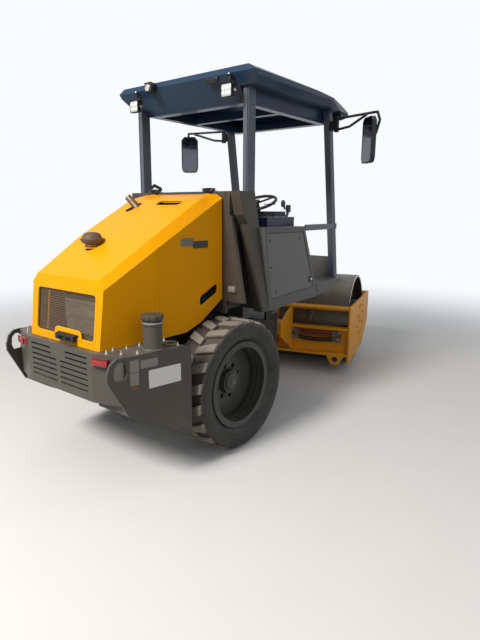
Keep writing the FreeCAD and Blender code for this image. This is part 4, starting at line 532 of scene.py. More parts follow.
def group_fine_grain():
    """The height of a fine irregular skin: paint's orange peel, cast iron or moulded
    plastic, by its scale."""
    tree, given, out = new_group(
        "fine grain",
        (
            ("Vector", VECTOR, None), ("Scale", NUMBER, 200.0), ("Roughness", NUMBER, 0.5),
            ("Pits", NUMBER, 0.0),
        ),
        (("Height", NUMBER), ("Value", NUMBER)),
    )
    skin = tree.noise(given["Vector"], given["Scale"], 5.0, given["Roughness"])
    cell = tree.add("ShaderNodeTexVoronoi", {"Vector": given["Vector"], "Scale": given["Scale"]})
    pits = tree.maths("MULTIPLY", cell.outputs["Distance"], given["Pits"])
    tree.feed(out, {"Height": tree.maths("ADD", skin, pits), "Value": skin})


def group_leather():
    """Creased vinyl: cells whose borders are the creases, over a slow swell."""
    tree, given, out = new_group(
        "leather",
        (("Vector", VECTOR, None), ("Scale", NUMBER, 320.0)),
        (("Height", NUMBER),),
    )
    inputs = {"Vector": given["Vector"], "Scale": given["Scale"]}
    cell = tree.add("ShaderNodeTexVoronoi", inputs, feature="DISTANCE_TO_EDGE")
    crease = tree.ramp(cell.outputs["Distance"], 0.0, 0.12)
    swell = tree.maths("MULTIPLY", tree.noise(given["Vector"], 40.0), 0.6)
    tree.feed(out, {"Height": tree.maths("ADD", crease, swell)})


def group_streaks():
    """Fine scratches that run one way, stretched along the given vector's Y."""
    tree, given, out = new_group(
        "streaks",
        (("Vector", VECTOR, None), ("Scale", NUMBER, 60.0), ("Stretch", NUMBER, 0.06)),
        (("Value", NUMBER), ("Height", NUMBER)),
    )
    squeeze = tree.add("ShaderNodeCombineXYZ", {0: 1.0, 1: given["Stretch"], 2: 1.0}).outputs[0]
    vector = tree.vectors("MULTIPLY", given["Vector"], squeeze)[0]
    lines = tree.noise(vector, given["Scale"], 8.0, 0.75)
    tree.feed(out, {"Value": tree.ramp(lines, 0.35, 0.65), "Height": lines})


def placed_group(tree, name, inputs):
    return tree.add("ShaderNodeGroup", inputs, node_tree=bpy.data.node_groups[name]).outputs


def dusted(tree, vector, colour, top, low, height, drift):
    """A colour under settled dust, with the dust's mask."""
    return placed_group(tree, "settled dust", {
        "Vector": vector, "Colour": colour, "Dust Colour": solid(colours().dust),
        "Top Dust": top, "Low Dust": low, "Dust Height": height, "Shade Drift": drift,
    })


def grained(tree, vector, scale, roughness, pits):
    """A fine grain's height and value."""
    return placed_group(tree, "fine grain", {
        "Vector": vector, "Scale": scale, "Roughness": roughness, "Pits": pits,
    })


def start_material(name):
    """A material with its shader, and the object's own coordinates."""
    material = bpy.data.materials.new(name)
    material.use_nodes = True
    tree = Tree(material.node_tree)
    shader = material.node_tree.nodes["Principled BSDF"]
    vector = tree.add("ShaderNodeTexCoord").outputs["Object"]
    return tree, shader, vector


def solid(colour):
    return (*colour[:3], 1.0)


def finish_paint(name, colour, roughness=0.35, coat=0.0, specular=0.28, top=0.1, low=0.2, height=0.9,
                 wear=0.3, worn=(0.16, 0.15, 0.14), peel=260.0, bump=0.04, drift=0.12, ripple=0.0,
                 above=None):
    """Paint with settled dust, worn edges, an orange-peel skin and the sheet's slow ripple;
    above gives a direction, how far along it the paint changes, and its second colour."""
    tree, shader, vector = start_material(name)
    rounded = tree.add("ShaderNodeBevel", {"Radius": 0.004}, samples=4).outputs[0]
    base = solid(colour)
    if above:
        direction, level, other = above
        reach = tree.vectors("DOT_PRODUCT", vector, direction)["Value"]
        base = tree.blend(tree.maths("GREATER_THAN", reach, level), base, solid(other))
    dusty = dusted(tree, vector, base, top, low, height, drift)
    edges = placed_group(tree, "worn edges", {
        "Vector": vector, "Colour": dusty["Colour"], "Worn Colour": solid(worn),
        "Rounded Normal": rounded, "Amount": wear,
    })
    grain = grained(tree, vector, peel, 0.5, 0.0)
    dull = tree.maths("MULTIPLY_ADD", dusty["Mask"], 0.5, roughness)
    shine = tree.maths("MULTIPLY_ADD", tree.maths("SUBTRACT", grain["Value"], 0.5), 0.12, dull, clamp=True)
    under = rounded
    if ripple:
        under = tree.bump(tree.noise(vector, 2.4, 2.0, 0.4), ripple, 0.02, Normal=rounded)
    tree.feed(shader, {
        "Base Color": edges["Colour"], "Roughness": shine,
        "Normal": tree.bump(grain["Height"], bump, 0.002, Normal=under),
        "Coat Weight": coat, "Coat Roughness": 0.12, "Specular IOR Level": specular,
    })


def finish_moulded(name, colour, roughness=0.55, scale=700.0, bump=0.12, top=0.12, specular=0.3):
    """Moulded plastic or rubber with a pebbled skin."""
    tree, shader, vector = start_material(name)
    dusty = dusted(tree, vector, solid(colour), top, 0.2, 0.8, 0.2)
    grain = grained(tree, vector, scale, 0.6, 0.4)
    tree.feed(shader, {
        "Base Color": dusty["Colour"],
        "Roughness": tree.maths("MULTIPLY_ADD", dusty["Mask"], 0.4, roughness),
        "Normal": tree.bump(grain["Height"], bump, 0.001), "Specular IOR Level": specular,
    })


def finish_steel(name, colour, roughness=0.35, scale=60.0, metal=1.0, rust=0.1):
    """Bare steel with streaks across it and a breath of rust."""
    tree, shader, vector = start_material(name)
    streaks = placed_group(tree, "streaks", {"Vector": vector, "Scale": scale, "Stretch": 0.08})
    blotch = tree.ramp(tree.noise(vector, 5.0, 6.0, 0.65), 0.45, 0.75)
    dark = solid([part * 0.62 for part in colour])
    rusty = solid((0.22, 0.115, 0.06))
    base = tree.blend(streaks["Value"], dark, solid(colour))
    base = tree.blend(tree.maths("MULTIPLY", blotch, rust), base, rusty)
    dusty = dusted(tree, vector, base, 0.05, 0.15, 0.6, 0.15)
    tree.feed(shader, {
        "Base Color": dusty["Colour"],
        "Roughness": tree.maths("MULTIPLY_ADD", streaks["Value"], -0.12, roughness + 0.12),
        "Normal": tree.bump(streaks["Height"], 0.05, 0.001),
        "Metallic": tree.maths("MULTIPLY", tree.maths("SUBTRACT", 1.0, dusty["Mask"]), metal),
    })


def finish_drum(name):
    """Rolled steel: streaks that run round the drum, patches of brown film, bright ground rings at its ends
    and, inside the rings, end faces painted near black as the shade of their recess. A Mapping node sets the
    drum's own axis along Y."""
    tree, shader, vector = start_material(name)
    centre = TURN.T @ front_spot(PIVOT_TO_DRUM, 0.0, DRUM_AXIS_Z)
    local = tree.add("ShaderNodeMapping", {
        "Vector": vector, "Rotation": (0, 0, -STEER), "Location": tuple(-centre),
    }).outputs[0]
    place = tree.add("ShaderNodeSeparateXYZ", {0: local}).outputs
    stretched = tree.add("ShaderNodeMapping", {"Vector": local, "Scale": (1.2, 34.0, 1.2)}).outputs[0]
    streaks = tree.noise(stretched, 1.6, 6.0, 0.7)
    film = tree.ramp(tree.noise(local, 3.2, 6.0, 0.68), 0.40, 0.68)
    spots = tree.ramp(tree.noise(local, 24.0, 4.0, 0.7), 0.58, 0.72)
    bright = solid([part * 1.35 for part in colours().drum])
    base = tree.blend(tree.ramp(streaks, 0.3, 0.7), solid(colours().drum), bright)
    base = tree.blend(tree.maths("MULTIPLY", film, 0.5), base, solid((0.115, 0.075, 0.045)))
    base = tree.blend(tree.maths("MULTIPLY", spots, 0.35), base, solid((0.16, 0.07, 0.03)))
    squares = tree.maths("ADD", tree.maths("POWER", place[0], 2.0), tree.maths("POWER", place[2], 2.0))
    radius = tree.maths("SQRT", squares)
    end = tree.maths("GREATER_THAN", tree.maths("ABSOLUTE", place[1]), 0.6985)
    ground = tree.maths("MULTIPLY", end, tree.ramp(radius, 0.500, 0.505))
    # the end faces inside the ground ring are painted near black: painted shade of the drum's recessed ends
    inside = tree.maths("SUBTRACT", 1.0, tree.ramp(radius, 0.500, 0.508))
    base = tree.blend(ground, base, solid((0.42, 0.41, 0.39)))
    base = tree.blend(tree.maths("MULTIPLY", inside, 0.75), base, solid((0.02, 0.018, 0.016)))
    dull = tree.maths("MULTIPLY_ADD", film, 0.14, tree.maths("MULTIPLY_ADD", streaks, 0.16, 0.30))
    tree.feed(shader, {
        "Base Color": base, "Metallic": tree.maths("MULTIPLY_ADD", ground, 0.3, 0.55),
        "Roughness": dull, "Normal": tree.bump(streaks, 0.10, 0.002),
    })


def finish_tyre(name):
    """Rubber whose lugs and tread are grey-tan with dried dust by the distance from the wheel's axle and from
    its middle plane, the grooves kept darker with little dust as painted shade between the lugs, and whose
    sidewall stays dark and smooth."""
    tree, shader, vector = start_material(name)
    place = tree.add("ShaderNodeSeparateXYZ", {0: vector}).outputs
    run = tree.maths("SUBTRACT", place[0], float(wheel_middle("left")[0]))
    rise = tree.maths("SUBTRACT", place[2], AXLE_HEIGHT)
    across = tree.maths("ABSOLUTE", tree.maths("SUBTRACT", place[1], float(ZERO[1])))
    aside = tree.maths("ABSOLUTE", tree.maths("SUBTRACT", across, WHEEL_Y))
    squares = tree.maths("ADD", tree.maths("POWER", run, 2.0), tree.maths("POWER", rise, 2.0))
    radius = tree.maths("SQRT", squares)
    uneven = tree.maths("MULTIPLY_ADD", tree.noise(vector, 14.0, 6.0, 0.7), 0.03, -0.015)
    reach = tree.maths("ADD", radius, uneven)
    tread = tree.maths("SUBTRACT", 1.0, tree.ramp(tree.maths("ADD", aside, uneven), 0.140, 0.151))
    # the lug tops carry much dust and the grooves little: real dust on the crowns, painted shade in the
    # grooves
    crown = tree.maths("MULTIPLY", tree.ramp(reach, 0.478, 0.500), 0.88)
    groove = tree.maths("MULTIPLY", tree.ramp(reach, 0.44, 0.468), 0.26)
    dusty = tree.maths("MULTIPLY", tree.maths("MAXIMUM", crown, groove), tread)
    film = tree.maths("MULTIPLY", tree.ramp(tree.noise(vector, 6.0, 5.0), 0.35, 0.8), 0.09)
    amount = tree.maths("MAXIMUM", dusty, film)
    speckle = tree.maths("MULTIPLY_ADD", tree.noise(vector, 60.0, 6.0, 0.8), 0.9, 0.45)
    mask = tree.maths("MULTIPLY", amount, speckle, clamp=True)
    grain = grained(tree, vector, 240.0, 0.7, 0.1)
    tree.feed(shader, {
        "Base Color": tree.blend(mask, solid(colours().rubber), solid(colours().dust)),
        "Roughness": tree.maths("MULTIPLY_ADD", mask, 0.4, 0.42),
        "Normal": tree.bump(grain["Height"], 0.2, 0.002), "Specular IOR Level": 0.3,
    })


def finish_vinyl(name, colour):
    """Creased seat vinyl with a soft shine."""
    tree, shader, vector = start_material(name)
    dusty = dusted(tree, vector, solid(colour), 0.1, 0.0, 1.0, 0.3)
    skin = placed_group(tree, "leather", {"Vector": vector, "Scale": 420.0})
    tree.feed(shader, {
        "Base Color": dusty["Colour"], "Roughness": tree.maths("MULTIPLY_ADD", dusty["Mask"], 0.3, 0.48),
        "Normal": tree.bump(skin["Height"], 0.3, 0.0008),
    })


def finish_lens(name, colour, ribs=0.0):
    """A glossy plastic lens; ribs says how deep its grain is pitted."""
    tree, shader, vector = start_material(name)
    grain = grained(tree, vector, 90.0, 0.4, ribs)
    film = tree.maths("MULTIPLY", tree.ramp(tree.noise(vector, 30.0, 4.0), 0.4, 0.8), 0.15)
    tree.feed(shader, {
        "Base Color": tree.blend(film, solid(colour), solid(colours().dust)),
        "Roughness": tree.maths("MULTIPLY_ADD", film, 1.5, 0.1),
        "Normal": tree.bump(grain["Height"], 0.2, 0.001), "Coat Weight": 0.6,
    })


def finish_mirror(name):
    """Silvered glass with a dim blue-grey tint that is a painted reflection of a sky, with a thin film of
    dust.
    """
    tree, shader, vector = start_material(name)
    film = tree.maths("MULTIPLY", tree.ramp(tree.noise(vector, 12.0, 5.0, 0.7), 0.4, 0.85), 0.2)
    # the blue-grey base colour is a painted sky reflection on the silvered glass
    tree.feed(shader, {
        "Base Color": tree.blend(film, solid((0.115, 0.125, 0.15)), solid(colours().dust)),
        "Roughness": tree.maths("MULTIPLY_ADD", film, 0.8, 0.07), "Metallic": 1.0,
    })


def make_finishes():
    tone = colours()
    # the hood is black beyond this distance along its top's normal
    hood_top, black_from = (-0.235, 0.0, 0.972), 2.091
    finish_paint("hood yellow", tone.yellow, 0.36, specular=0.07, top=0.02, low=0.03, wear=0.12,
                 worn=(0.45, 0.22, 0.02), drift=0.06, ripple=0.12,
                 above=(hood_top, black_from + float(np.dot(hood_top, ZERO)), tone.black))
    finish_paint("trim yellow", tone.yellow, 0.34, specular=0.13, top=0.02, low=0.03, wear=0.1, drift=0.06)
    finish_paint("drum frame yellow", tone.yellow, 0.45, specular=0.22, top=0.30, low=0.42, wear=0.5,
                 worn=(0.2, 0.13, 0.08), drift=0.25)
    finish_paint("tank grey", tone.tank_grey, 0.42, top=0.28, low=0.2, wear=0.35, worn=(0.26, 0.25, 0.23),
                 specular=0.22, ripple=0.08)
    finish_paint("cab grey", tone.cab_grey, 0.38, top=0.2, low=0.05, wear=0.2)
    finish_paint("leg grey", tone.leg_brown, 0.42, top=0.2, low=0.15, wear=0.2, ripple=0.1)
    finish_paint("console grey", tone.console_grey, 0.42, top=0.15, low=0.08, wear=0.15, ripple=0.06)
    finish_paint("cover grey", tone.cover_grey, 0.45, top=0.1, low=0.06, wear=0.1, drift=0.12, ripple=0.1)
    finish_paint("roof black", tone.roof_navy, 0.34, specular=0.2, coat=0.1, top=0.02, low=0.0, wear=0.1,
                 worn=(0.08, 0.09, 0.11), ripple=0.12)
    finish_paint("black paint", tone.black, 0.42, top=0.2, low=0.3, wear=0.3, specular=0.22)
    finish_paint("chassis black", (0.034, 0.031, 0.026), 0.5, top=0.3, low=0.35, wear=0.3, specular=0.2)
    finish_paint("rim paint", tone.rim_grey, 0.28, coat=0.2, top=0.05, low=0.06, height=1.2, wear=0.15,
                 worn=(0.1, 0.1, 0.09), ripple=0.05)
    finish_paint("cast iron", (0.03, 0.03, 0.03), 0.55, top=0.3, low=0.4, wear=0.4, peel=420.0, bump=0.3)
    finish_paint("silver badge", (0.22, 0.20, 0.17), 0.35, top=0.05, low=0.05, wear=0.1, peel=600.0)
    finish_paint("dark badge", (0.035, 0.033, 0.030), 0.3, top=0.05, low=0.05, wear=0.1, peel=600.0)
    finish_paint("disc olive", (0.085, 0.087, 0.062), 0.34, top=0.05, low=0.06, height=1.2, wear=0.1,
                 drift=0.2)
    finish_paint("cap grey", (0.060, 0.055, 0.045), 0.42, top=0.12, low=0.0, wear=0.2)
    finish_paint("grey plate", (0.27, 0.26, 0.22), 0.45, top=0.05, low=0.1, wear=0.1, peel=600.0, drift=0.3)
    finish_paint("pale plate", (0.84, 0.83, 0.80), 0.42, top=0.05, low=0.12, wear=0.2, peel=600.0)
    finish_paint("brown strip", (0.16, 0.10, 0.055), 0.5, top=0.05, low=0.1, wear=0.1, peel=600.0)
    finish_paint("intake brown", (0.125, 0.088, 0.058), 0.5, top=0.1, low=0.0, wear=0.2, peel=420.0, bump=0.2)
    finish_steel("bare steel", (0.52, 0.52, 0.51), 0.35)
    finish_steel("bright bolt", (0.72, 0.71, 0.67), 0.32, scale=150.0, rust=0.12, metal=0.7)
    # the brown base tint stands in for the yellow hood's reflection on a dark pipe: painted reflection; the
    # rust patches are rust
    finish_steel("exhaust steel", (0.20, 0.145, 0.085), 0.42, scale=90.0, rust=0.3, metal=0.6)
    finish_steel("radiator fins", (0.62, 0.54, 0.44), 0.5, scale=90.0, rust=0.05, metal=0.2)
    finish_drum("drum steel")
    finish_moulded("grille wire", (0.20, 0.155, 0.11), 0.5, scale=500.0, bump=0.05, top=0.05)
    finish_moulded("black plastic", (0.018, 0.018, 0.019), 0.5)
    finish_moulded("control plastic", (0.030, 0.040, 0.085), 0.3, scale=500.0, bump=0.06)
    finish_moulded("hose red", (0.24, 0.050, 0.026), 0.5, scale=500.0)
    finish_moulded("hose black", (0.015, 0.015, 0.015), 0.55, scale=500.0)
    # near black for the insides of holes, slots, openings and recesses, and the nuts sunk in the wheels'
    # holes: painted shade
    finish_moulded("hole dark", (0.006, 0.006, 0.006), 0.9, top=0.0, specular=0.1)
    finish_tyre("tyre rubber")
    finish_vinyl("seat vinyl", tone.vinyl)
    finish_lens("red lens", (0.42, 0.008, 0.006), ribs=0.5)
    finish_lens("lamp lens", (0.50, 0.53, 0.57), ribs=0.3)
    finish_lens("lamp reflector", (0.8, 0.8, 0.8))
    finish_mirror("mirror glass")


NODE_FINISHES = {
    "hood yellow": "hood_shell",
    "drum frame yellow": "drum_frame_sides drum_frame_rear_beam drum_frame_front_beam scrapers",
    "tank grey": "side_tanks tank_side_plates rear_bumper filler_neck",
    "cab grey": "front_posts rear_posts handrails",
    "leg grey": "side_legs bulkhead",
    "console grey": "right_console platform_floor front_wall left_step",
    "cover grey": "console_cover",
    "roof black": "roof_panel roof_frame",
    "black paint": "rear_axle mirror_arms hood_latch cylinder_anchor steering_cylinder_barrel seat_base "
                   "steering_column",
    "chassis black": "chassis_rails articulation_bracket articulation_yoke",
    "rim paint": "rim_left rim_right",
    "cast iron": "engine_block drum_mounts",
    "exhaust steel": "exhaust_stub",
    "black plastic": "hood_grille intake_cap mirrors beacon_socket rear_work_lights steering_wheel",
    "control plastic": "armrest_console",
    "hose red": "hydraulic_lines",
    "bare steel": "steering_cylinder_rod",
    "drum steel": "drum_shell",
    "tyre rubber": "tyre_left tyre_right",
    "seat vinyl": "seat_cushion seat_backrest",
    "red lens": "tail_lights",
}


def dress_nodes():
    for finish, nodes in NODE_FINISHES.items():
        for node in nodes.split():
            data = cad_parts[node].data
            data.materials.clear()
            data.materials.append(bpy.data.materials[finish])


# Pieces


def make_tyres():
    """A carcass turned from its section, with lugs from the middle of the tread over the
    shoulder. A lug is a grid: from each station across the tread a base point and a tip
    point, and between them the lift of eight columns along the lug's width, which grows
    with the share t of the way out while its middle runs forward by t times the sweep."""
    size = sizes()
    tip = AXLE_HEIGHT - 0.0005
    tread = AXLE_HEIGHT - size.lug_height
    shoulder, mean_radius = 0.155, 0.49
    # half of the section from the bead to the middle: y, radius
    section = [
        (0.111, 0.3068), (0.1135, 0.338), (0.119, 0.350), (0.131, 0.357), (0.1405, 0.369),
        (0.1445, 0.3735), (0.1455, 0.3765), (0.1445, 0.3800), (0.1475, 0.390), (0.1515, 0.412),
        (0.1535, 0.436), (0.1546, 0.456), (0.1542, 0.470), (0.1520, 0.480), (0.1480, 0.482),
        (0.1430, tread + 0.004), (0.136, tread), (0.120, tread + 0.001), (0.060, tread + 0.003),
        (0.0, tread + 0.004),
    ]
    profile = [(-y, r) for y, r in section[:-1]] + [(y, r) for y, r in section[::-1]]
    carcass = ring_band(profile, 120, "y")
    # columns: tip y, tip radius, base y, base radius
    stations = np.array([
        (-0.004, tip - 0.003, -0.004, tread - 0.009),
        (0.000, tip, 0.000, tread - 0.009),
        (0.045, tip, 0.045, tread - 0.009),
        (0.090, tip, 0.090, tread - 0.009),
        (0.122, tip - 0.001, 0.116, tread - 0.010),
        (0.133, tip - 0.003, 0.124, tread - 0.012),
        (0.139, tip - 0.008, 0.130, tread - 0.016),
        (0.1520, tip - 0.024, 0.140, tread - 0.024),
        (0.1545, tip - 0.030, 0.142, tread - 0.028),
        (0.1548, tip - 0.042, 0.143, tread - 0.034),
        (0.1545, tread - 0.028, 0.144, tread - 0.038),
        (0.1500, tread - 0.045, 0.144, tread - 0.046),
    ])
    share = np.clip(stations[:, 0] / shoulder, 0, 1)
    width = size.lug_middle_width + (size.lug_width - size.lug_middle_width) * share
    middle = size.lug_sweep * (share - 0.5)
    columns = np.array([-0.56, -0.515, -0.485, -0.45, 0.45, 0.485, 0.515, 0.56])
    lift = np.array([0.0, 0.55, 0.93, 1.0, 1.0, 0.93, 0.55, 0.0])
    along_y = stations[:, 2:3] + (stations[:, 0:1] - stations[:, 2:3]) * lift
    radius = stations[:, 3:4] + (stations[:, 1:2] - stations[:, 3:4]) * lift
    angle = (middle[:, None] + width[:, None] * columns) / mean_radius
    rows, across = radius.shape
    pitch = 2 * math.pi / size.lug_count
    rings = np.arange(rows * across).reshape(rows, across)
    faces = grid_faces(rows, across, around=True)
    single = Shape(np.zeros((rows * across, 3)), faces, rings[:1], rings[-1:])
    lugs = []
    for side, start in ((1, 0.0), (-1, 0.5)):
        around = ((np.arange(size.lug_count) + start) * pitch)[:, None, None] + angle[None]
        level = np.broadcast_to(side * along_y, around.shape)
        points = np.stack([radius * np.sin(around), level, radius * np.cos(around)], axis=-1)
        lugs.append(Shape(points, *repeated(single, np.zeros((size.lug_count, 3))).blocks))
    for tag in ("left", "right"):
        hub = wheel_middle(tag) * (1, 1, 0) + (0, 0, AXLE_HEIGHT)
        parts = [(shape.moved(hub), "tyre rubber") for shape in (carcass, *lugs)]
        tyre = make_piece("lugged_tyre_" + tag, "wheel_" + tag, parts, crease=42)
        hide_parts("tyre_" + tag)


def make_wheel_trim():
    """Rimmed bolt holes round each hub, a cap with its bolt and the rim's rolled edges: an
    angle's cosine and sine times a ring's radius place the holes."""
    bolt_circle = 0.128
    angle = np.arange(8) * math.pi / 4 + 0.25
    ring = np.column_stack([bolt_circle * np.cos(angle), np.zeros(8), bolt_circle * np.sin(angle)])
    for tag, side in (("left", 1), ("right", -1)):
        hub = wheel_middle(tag) * (1, 1, 0) + (0, 0, AXLE_HEIGHT)
        outward = axes_from((0, side, 0))
        face = hub + (0, side * -0.025, 0)
        places = face + ring
        valve = face + (-0.062, 0, 0.180)
        washer = ring_band([(0.0, 0.0235), (0.0030, 0.0225), (0.0030, 0.0198), (0.0, 0.0190)], 20)
        # the pits and the nuts in them are near black: painted shade of the bolt holes
        pit = spun([(0.0, 0.0198), (0.0018, 0.0198), (0.0018, 0.0)], 20)
        disc = ring_band([(-0.001, 0.1035), (0.0012, 0.1035), (0.0012, 0.284), (-0.001, 0.284)], 72)
        nut = spun([(0.0, 0.0112), (0.0055, 0.0112), (0.0075, 0.009), (0.0075, 0.0)], 6)
        holes = np.vstack([places, valve])
        cap = spun([(0, 0.0), (0, 0.070), (0.009, 0.070), (0.014, 0.064), (0.016, 0.045), (0.016, 0.0)], 40)
        bolt = hex_bolt(0.020, 0.012).turned(outward).moved(hub + (0.004, side * 0.0355, -0.004))
        edge = ring_band([
            (0.1232, 0.318), (0.1246, 0.3205), (0.1249, 0.329), (0.1246, 0.3335), (0.1232, 0.3350),
            (0.118, 0.3345), (0.118, 0.3185),
        ], 96, "y")
        # columns: y, inner radius, width
        steps = [
            ring_band([(y, 0.2935), (y, r), (y + w, r), (y + w, 0.2935)], 96, "y")
            for y, r, w in ((0.062, 0.2860, 0.012), (0.018, 0.2800, 0.016))
        ]
        rolled = together(edge, *steps).scaled((1, side, 1)).moved(hub)
        parts = [
            (disc.turned(outward).moved(face), "disc olive"),
            (repeated(washer.turned(outward), holes), "disc olive"),
            (repeated(pit.turned(outward), holes), "hole dark"),
            (repeated(nut.turned(outward), places), "hole dark"),
            (cap.turned(outward).moved(hub + (0, side * 0.0195, 0)), "rim paint"),
            (bolt, "grey plate"),
            (rolled, "rim paint"),
        ]
        make_piece("wheel_nuts_" + tag, "wheel_" + tag, parts)


def make_grille():
    """Woven wire over the rear opening: each wire is a square bar carried along a line that
    waves over and under the wires across it. The opening gets a lip with round corners and
    a stay, and a radiator stands behind it."""
    pitch = sizes().grille_pitch
    low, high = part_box("hood_grille")
    middle = (np.array(low) + np.array(high)) / 2
    width = high.y - low.y
    rise = math.hypot(high.z - low.z, high.x - low.x - 0.006)
    slope = np.array([high.x - low.x - 0.006, 0, high.z - low.z]) / rise
    across = np.array([0, 1.0, 0])
    out = np.cross(slope, across)
    out = -out if out[0] > 0 else out
    axes = np.column_stack([across, slope, out])
    columns, rows = int(width / pitch), int(rise / pitch)
    wire = pitch * 0.10

    def wires(count, other, length, breadth, thick):
        run = np.linspace(-length / 2, length / 2, other + 1)
        place = (np.arange(count) + 0.5) * breadth / count - breadth / 2
        wave = np.where((np.arange(other + 1)[None] + np.arange(count)[:, None]) % 2, wire, -wire) * 0.8
        square = np.array([(-thick, -1), (thick, -1), (thick, 1), (-thick, 1)]) * wire
        points = np.zeros((count, other + 1, 4, 3))
        points[..., 0] = run[None, :, None]
        points[..., 1] = place[:, None, None] + square[:, 0]
        points[..., 2] = wave[..., None] + square[:, 1]
        faces = grid_faces(other + 1, 4, around=True)
        start = np.arange(count) * (other + 1) * 4
        return Shape(points, (faces[None] + start[:, None, None]).reshape(-1, 4))

    level = wires(rows, columns, width, rise, 1.2)
    upright = wires(columns, rows, rise, width, 0.8)
    upright = upright.turned([[0, -1, 0], [1, 0, 0], [0, 0, 1]])
    mesh = together(level, upright).turned(axes).moved(middle)
    outer = rounded_outline(width, rise, 0.004)
    inner = rounded_outline(width - 0.024, rise - 0.024, 0.018)
    border = holed_plate(outer, inner, -0.003, 0.004).turned(axes).moved(middle)
    parts = [(mesh, "grille wire"), (border, "black paint")]
    grille = make_piece("grille_wires", "hood", parts)
    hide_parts("hood_grille")

    # the rear face lies 0.0125 m outside the wires
    outer = rounded_outline(width + 0.030, rise + 0.030, 0.030)
    inner = rounded_outline(width - 0.012, rise - 0.012, 0.024)
    rim = holed_plate(outer, inner, -0.010, 0.0022).turned(axes).moved(middle + out * 0.0135)
    foot = middle + out * 0.0165
    lip_path = [
        (0.086, -0.168), (0.086, -0.130), (0.082, -0.120), (0.072, -0.115),
        (-0.172, -0.115), (-0.182, -0.120), (-0.187, -0.130), (-0.190, -0.168),
    ]
    lip_path = np.array([across * y + slope * z for y, z in lip_path]) + foot
    lip = carried(rounded_outline(0.034, 0.006, 0.0025, 3), lip_path, up=tuple(out))
    backing = slab([(0.080, -0.160), (0.080, -0.112), (-0.196, -0.112), (-0.196, -0.160)], 0.0, 0.002)
    backing = backing.turned(axes).moved(foot - out * 0.003)
    stay = rounded_block(0.016, rise - 0.010, 0.010, 0.004).turned(axes)
    stay = stay.moved(middle + across * 0.232 - out * 0.012)
    parts = [(rim, "trim yellow"), (lip, "trim yellow"), (backing, "black plastic"), (stay, "trim yellow")]
    make_piece("grille_lip", "hood", parts)

    behind = middle + (0.060, 0, 0)
    core = rounded_block(0.03, 0.42, 0.235, 0.004, 2).moved(behind + (0.020, -0.105, -0.030))
    heights = np.column_stack([np.zeros(34), np.zeros(34), np.linspace(-0.112, 0.112, 34)])
    fin = rounded_block(0.006, 0.41, 0.0030, 0.001, 2)
    fins = repeated(fin, behind + (0.0, -0.105, -0.030) + heights)
    sides = np.column_stack([np.zeros(18), np.linspace(-0.20, 0.20, 18), np.zeros(18)])
    tube = rounded_block(0.010, 0.004, 0.232, 0.0015, 2)
    tubes = repeated(tube, behind + (0.003, -0.105, -0.030) + sides)
    tank = rounded_block(0.05, 0.44, 0.026, 0.010).moved(behind + (0.02, -0.105, 0.100))
    parts = [
        (core, "chassis black"), (fins, "radiator fins"), (tubes, "radiator fins"), (tank, "chassis black"),
    ]
    make_piece("radiator_core", "rear_frame", parts)


def hood_slope_spot(x, y):
    """A point on the hood's upper slope in the row frame."""
    return spot(x, y, HOOD_SLOPE_Z + HOOD_SLOPE * (x - HOOD_SLOPE_X))


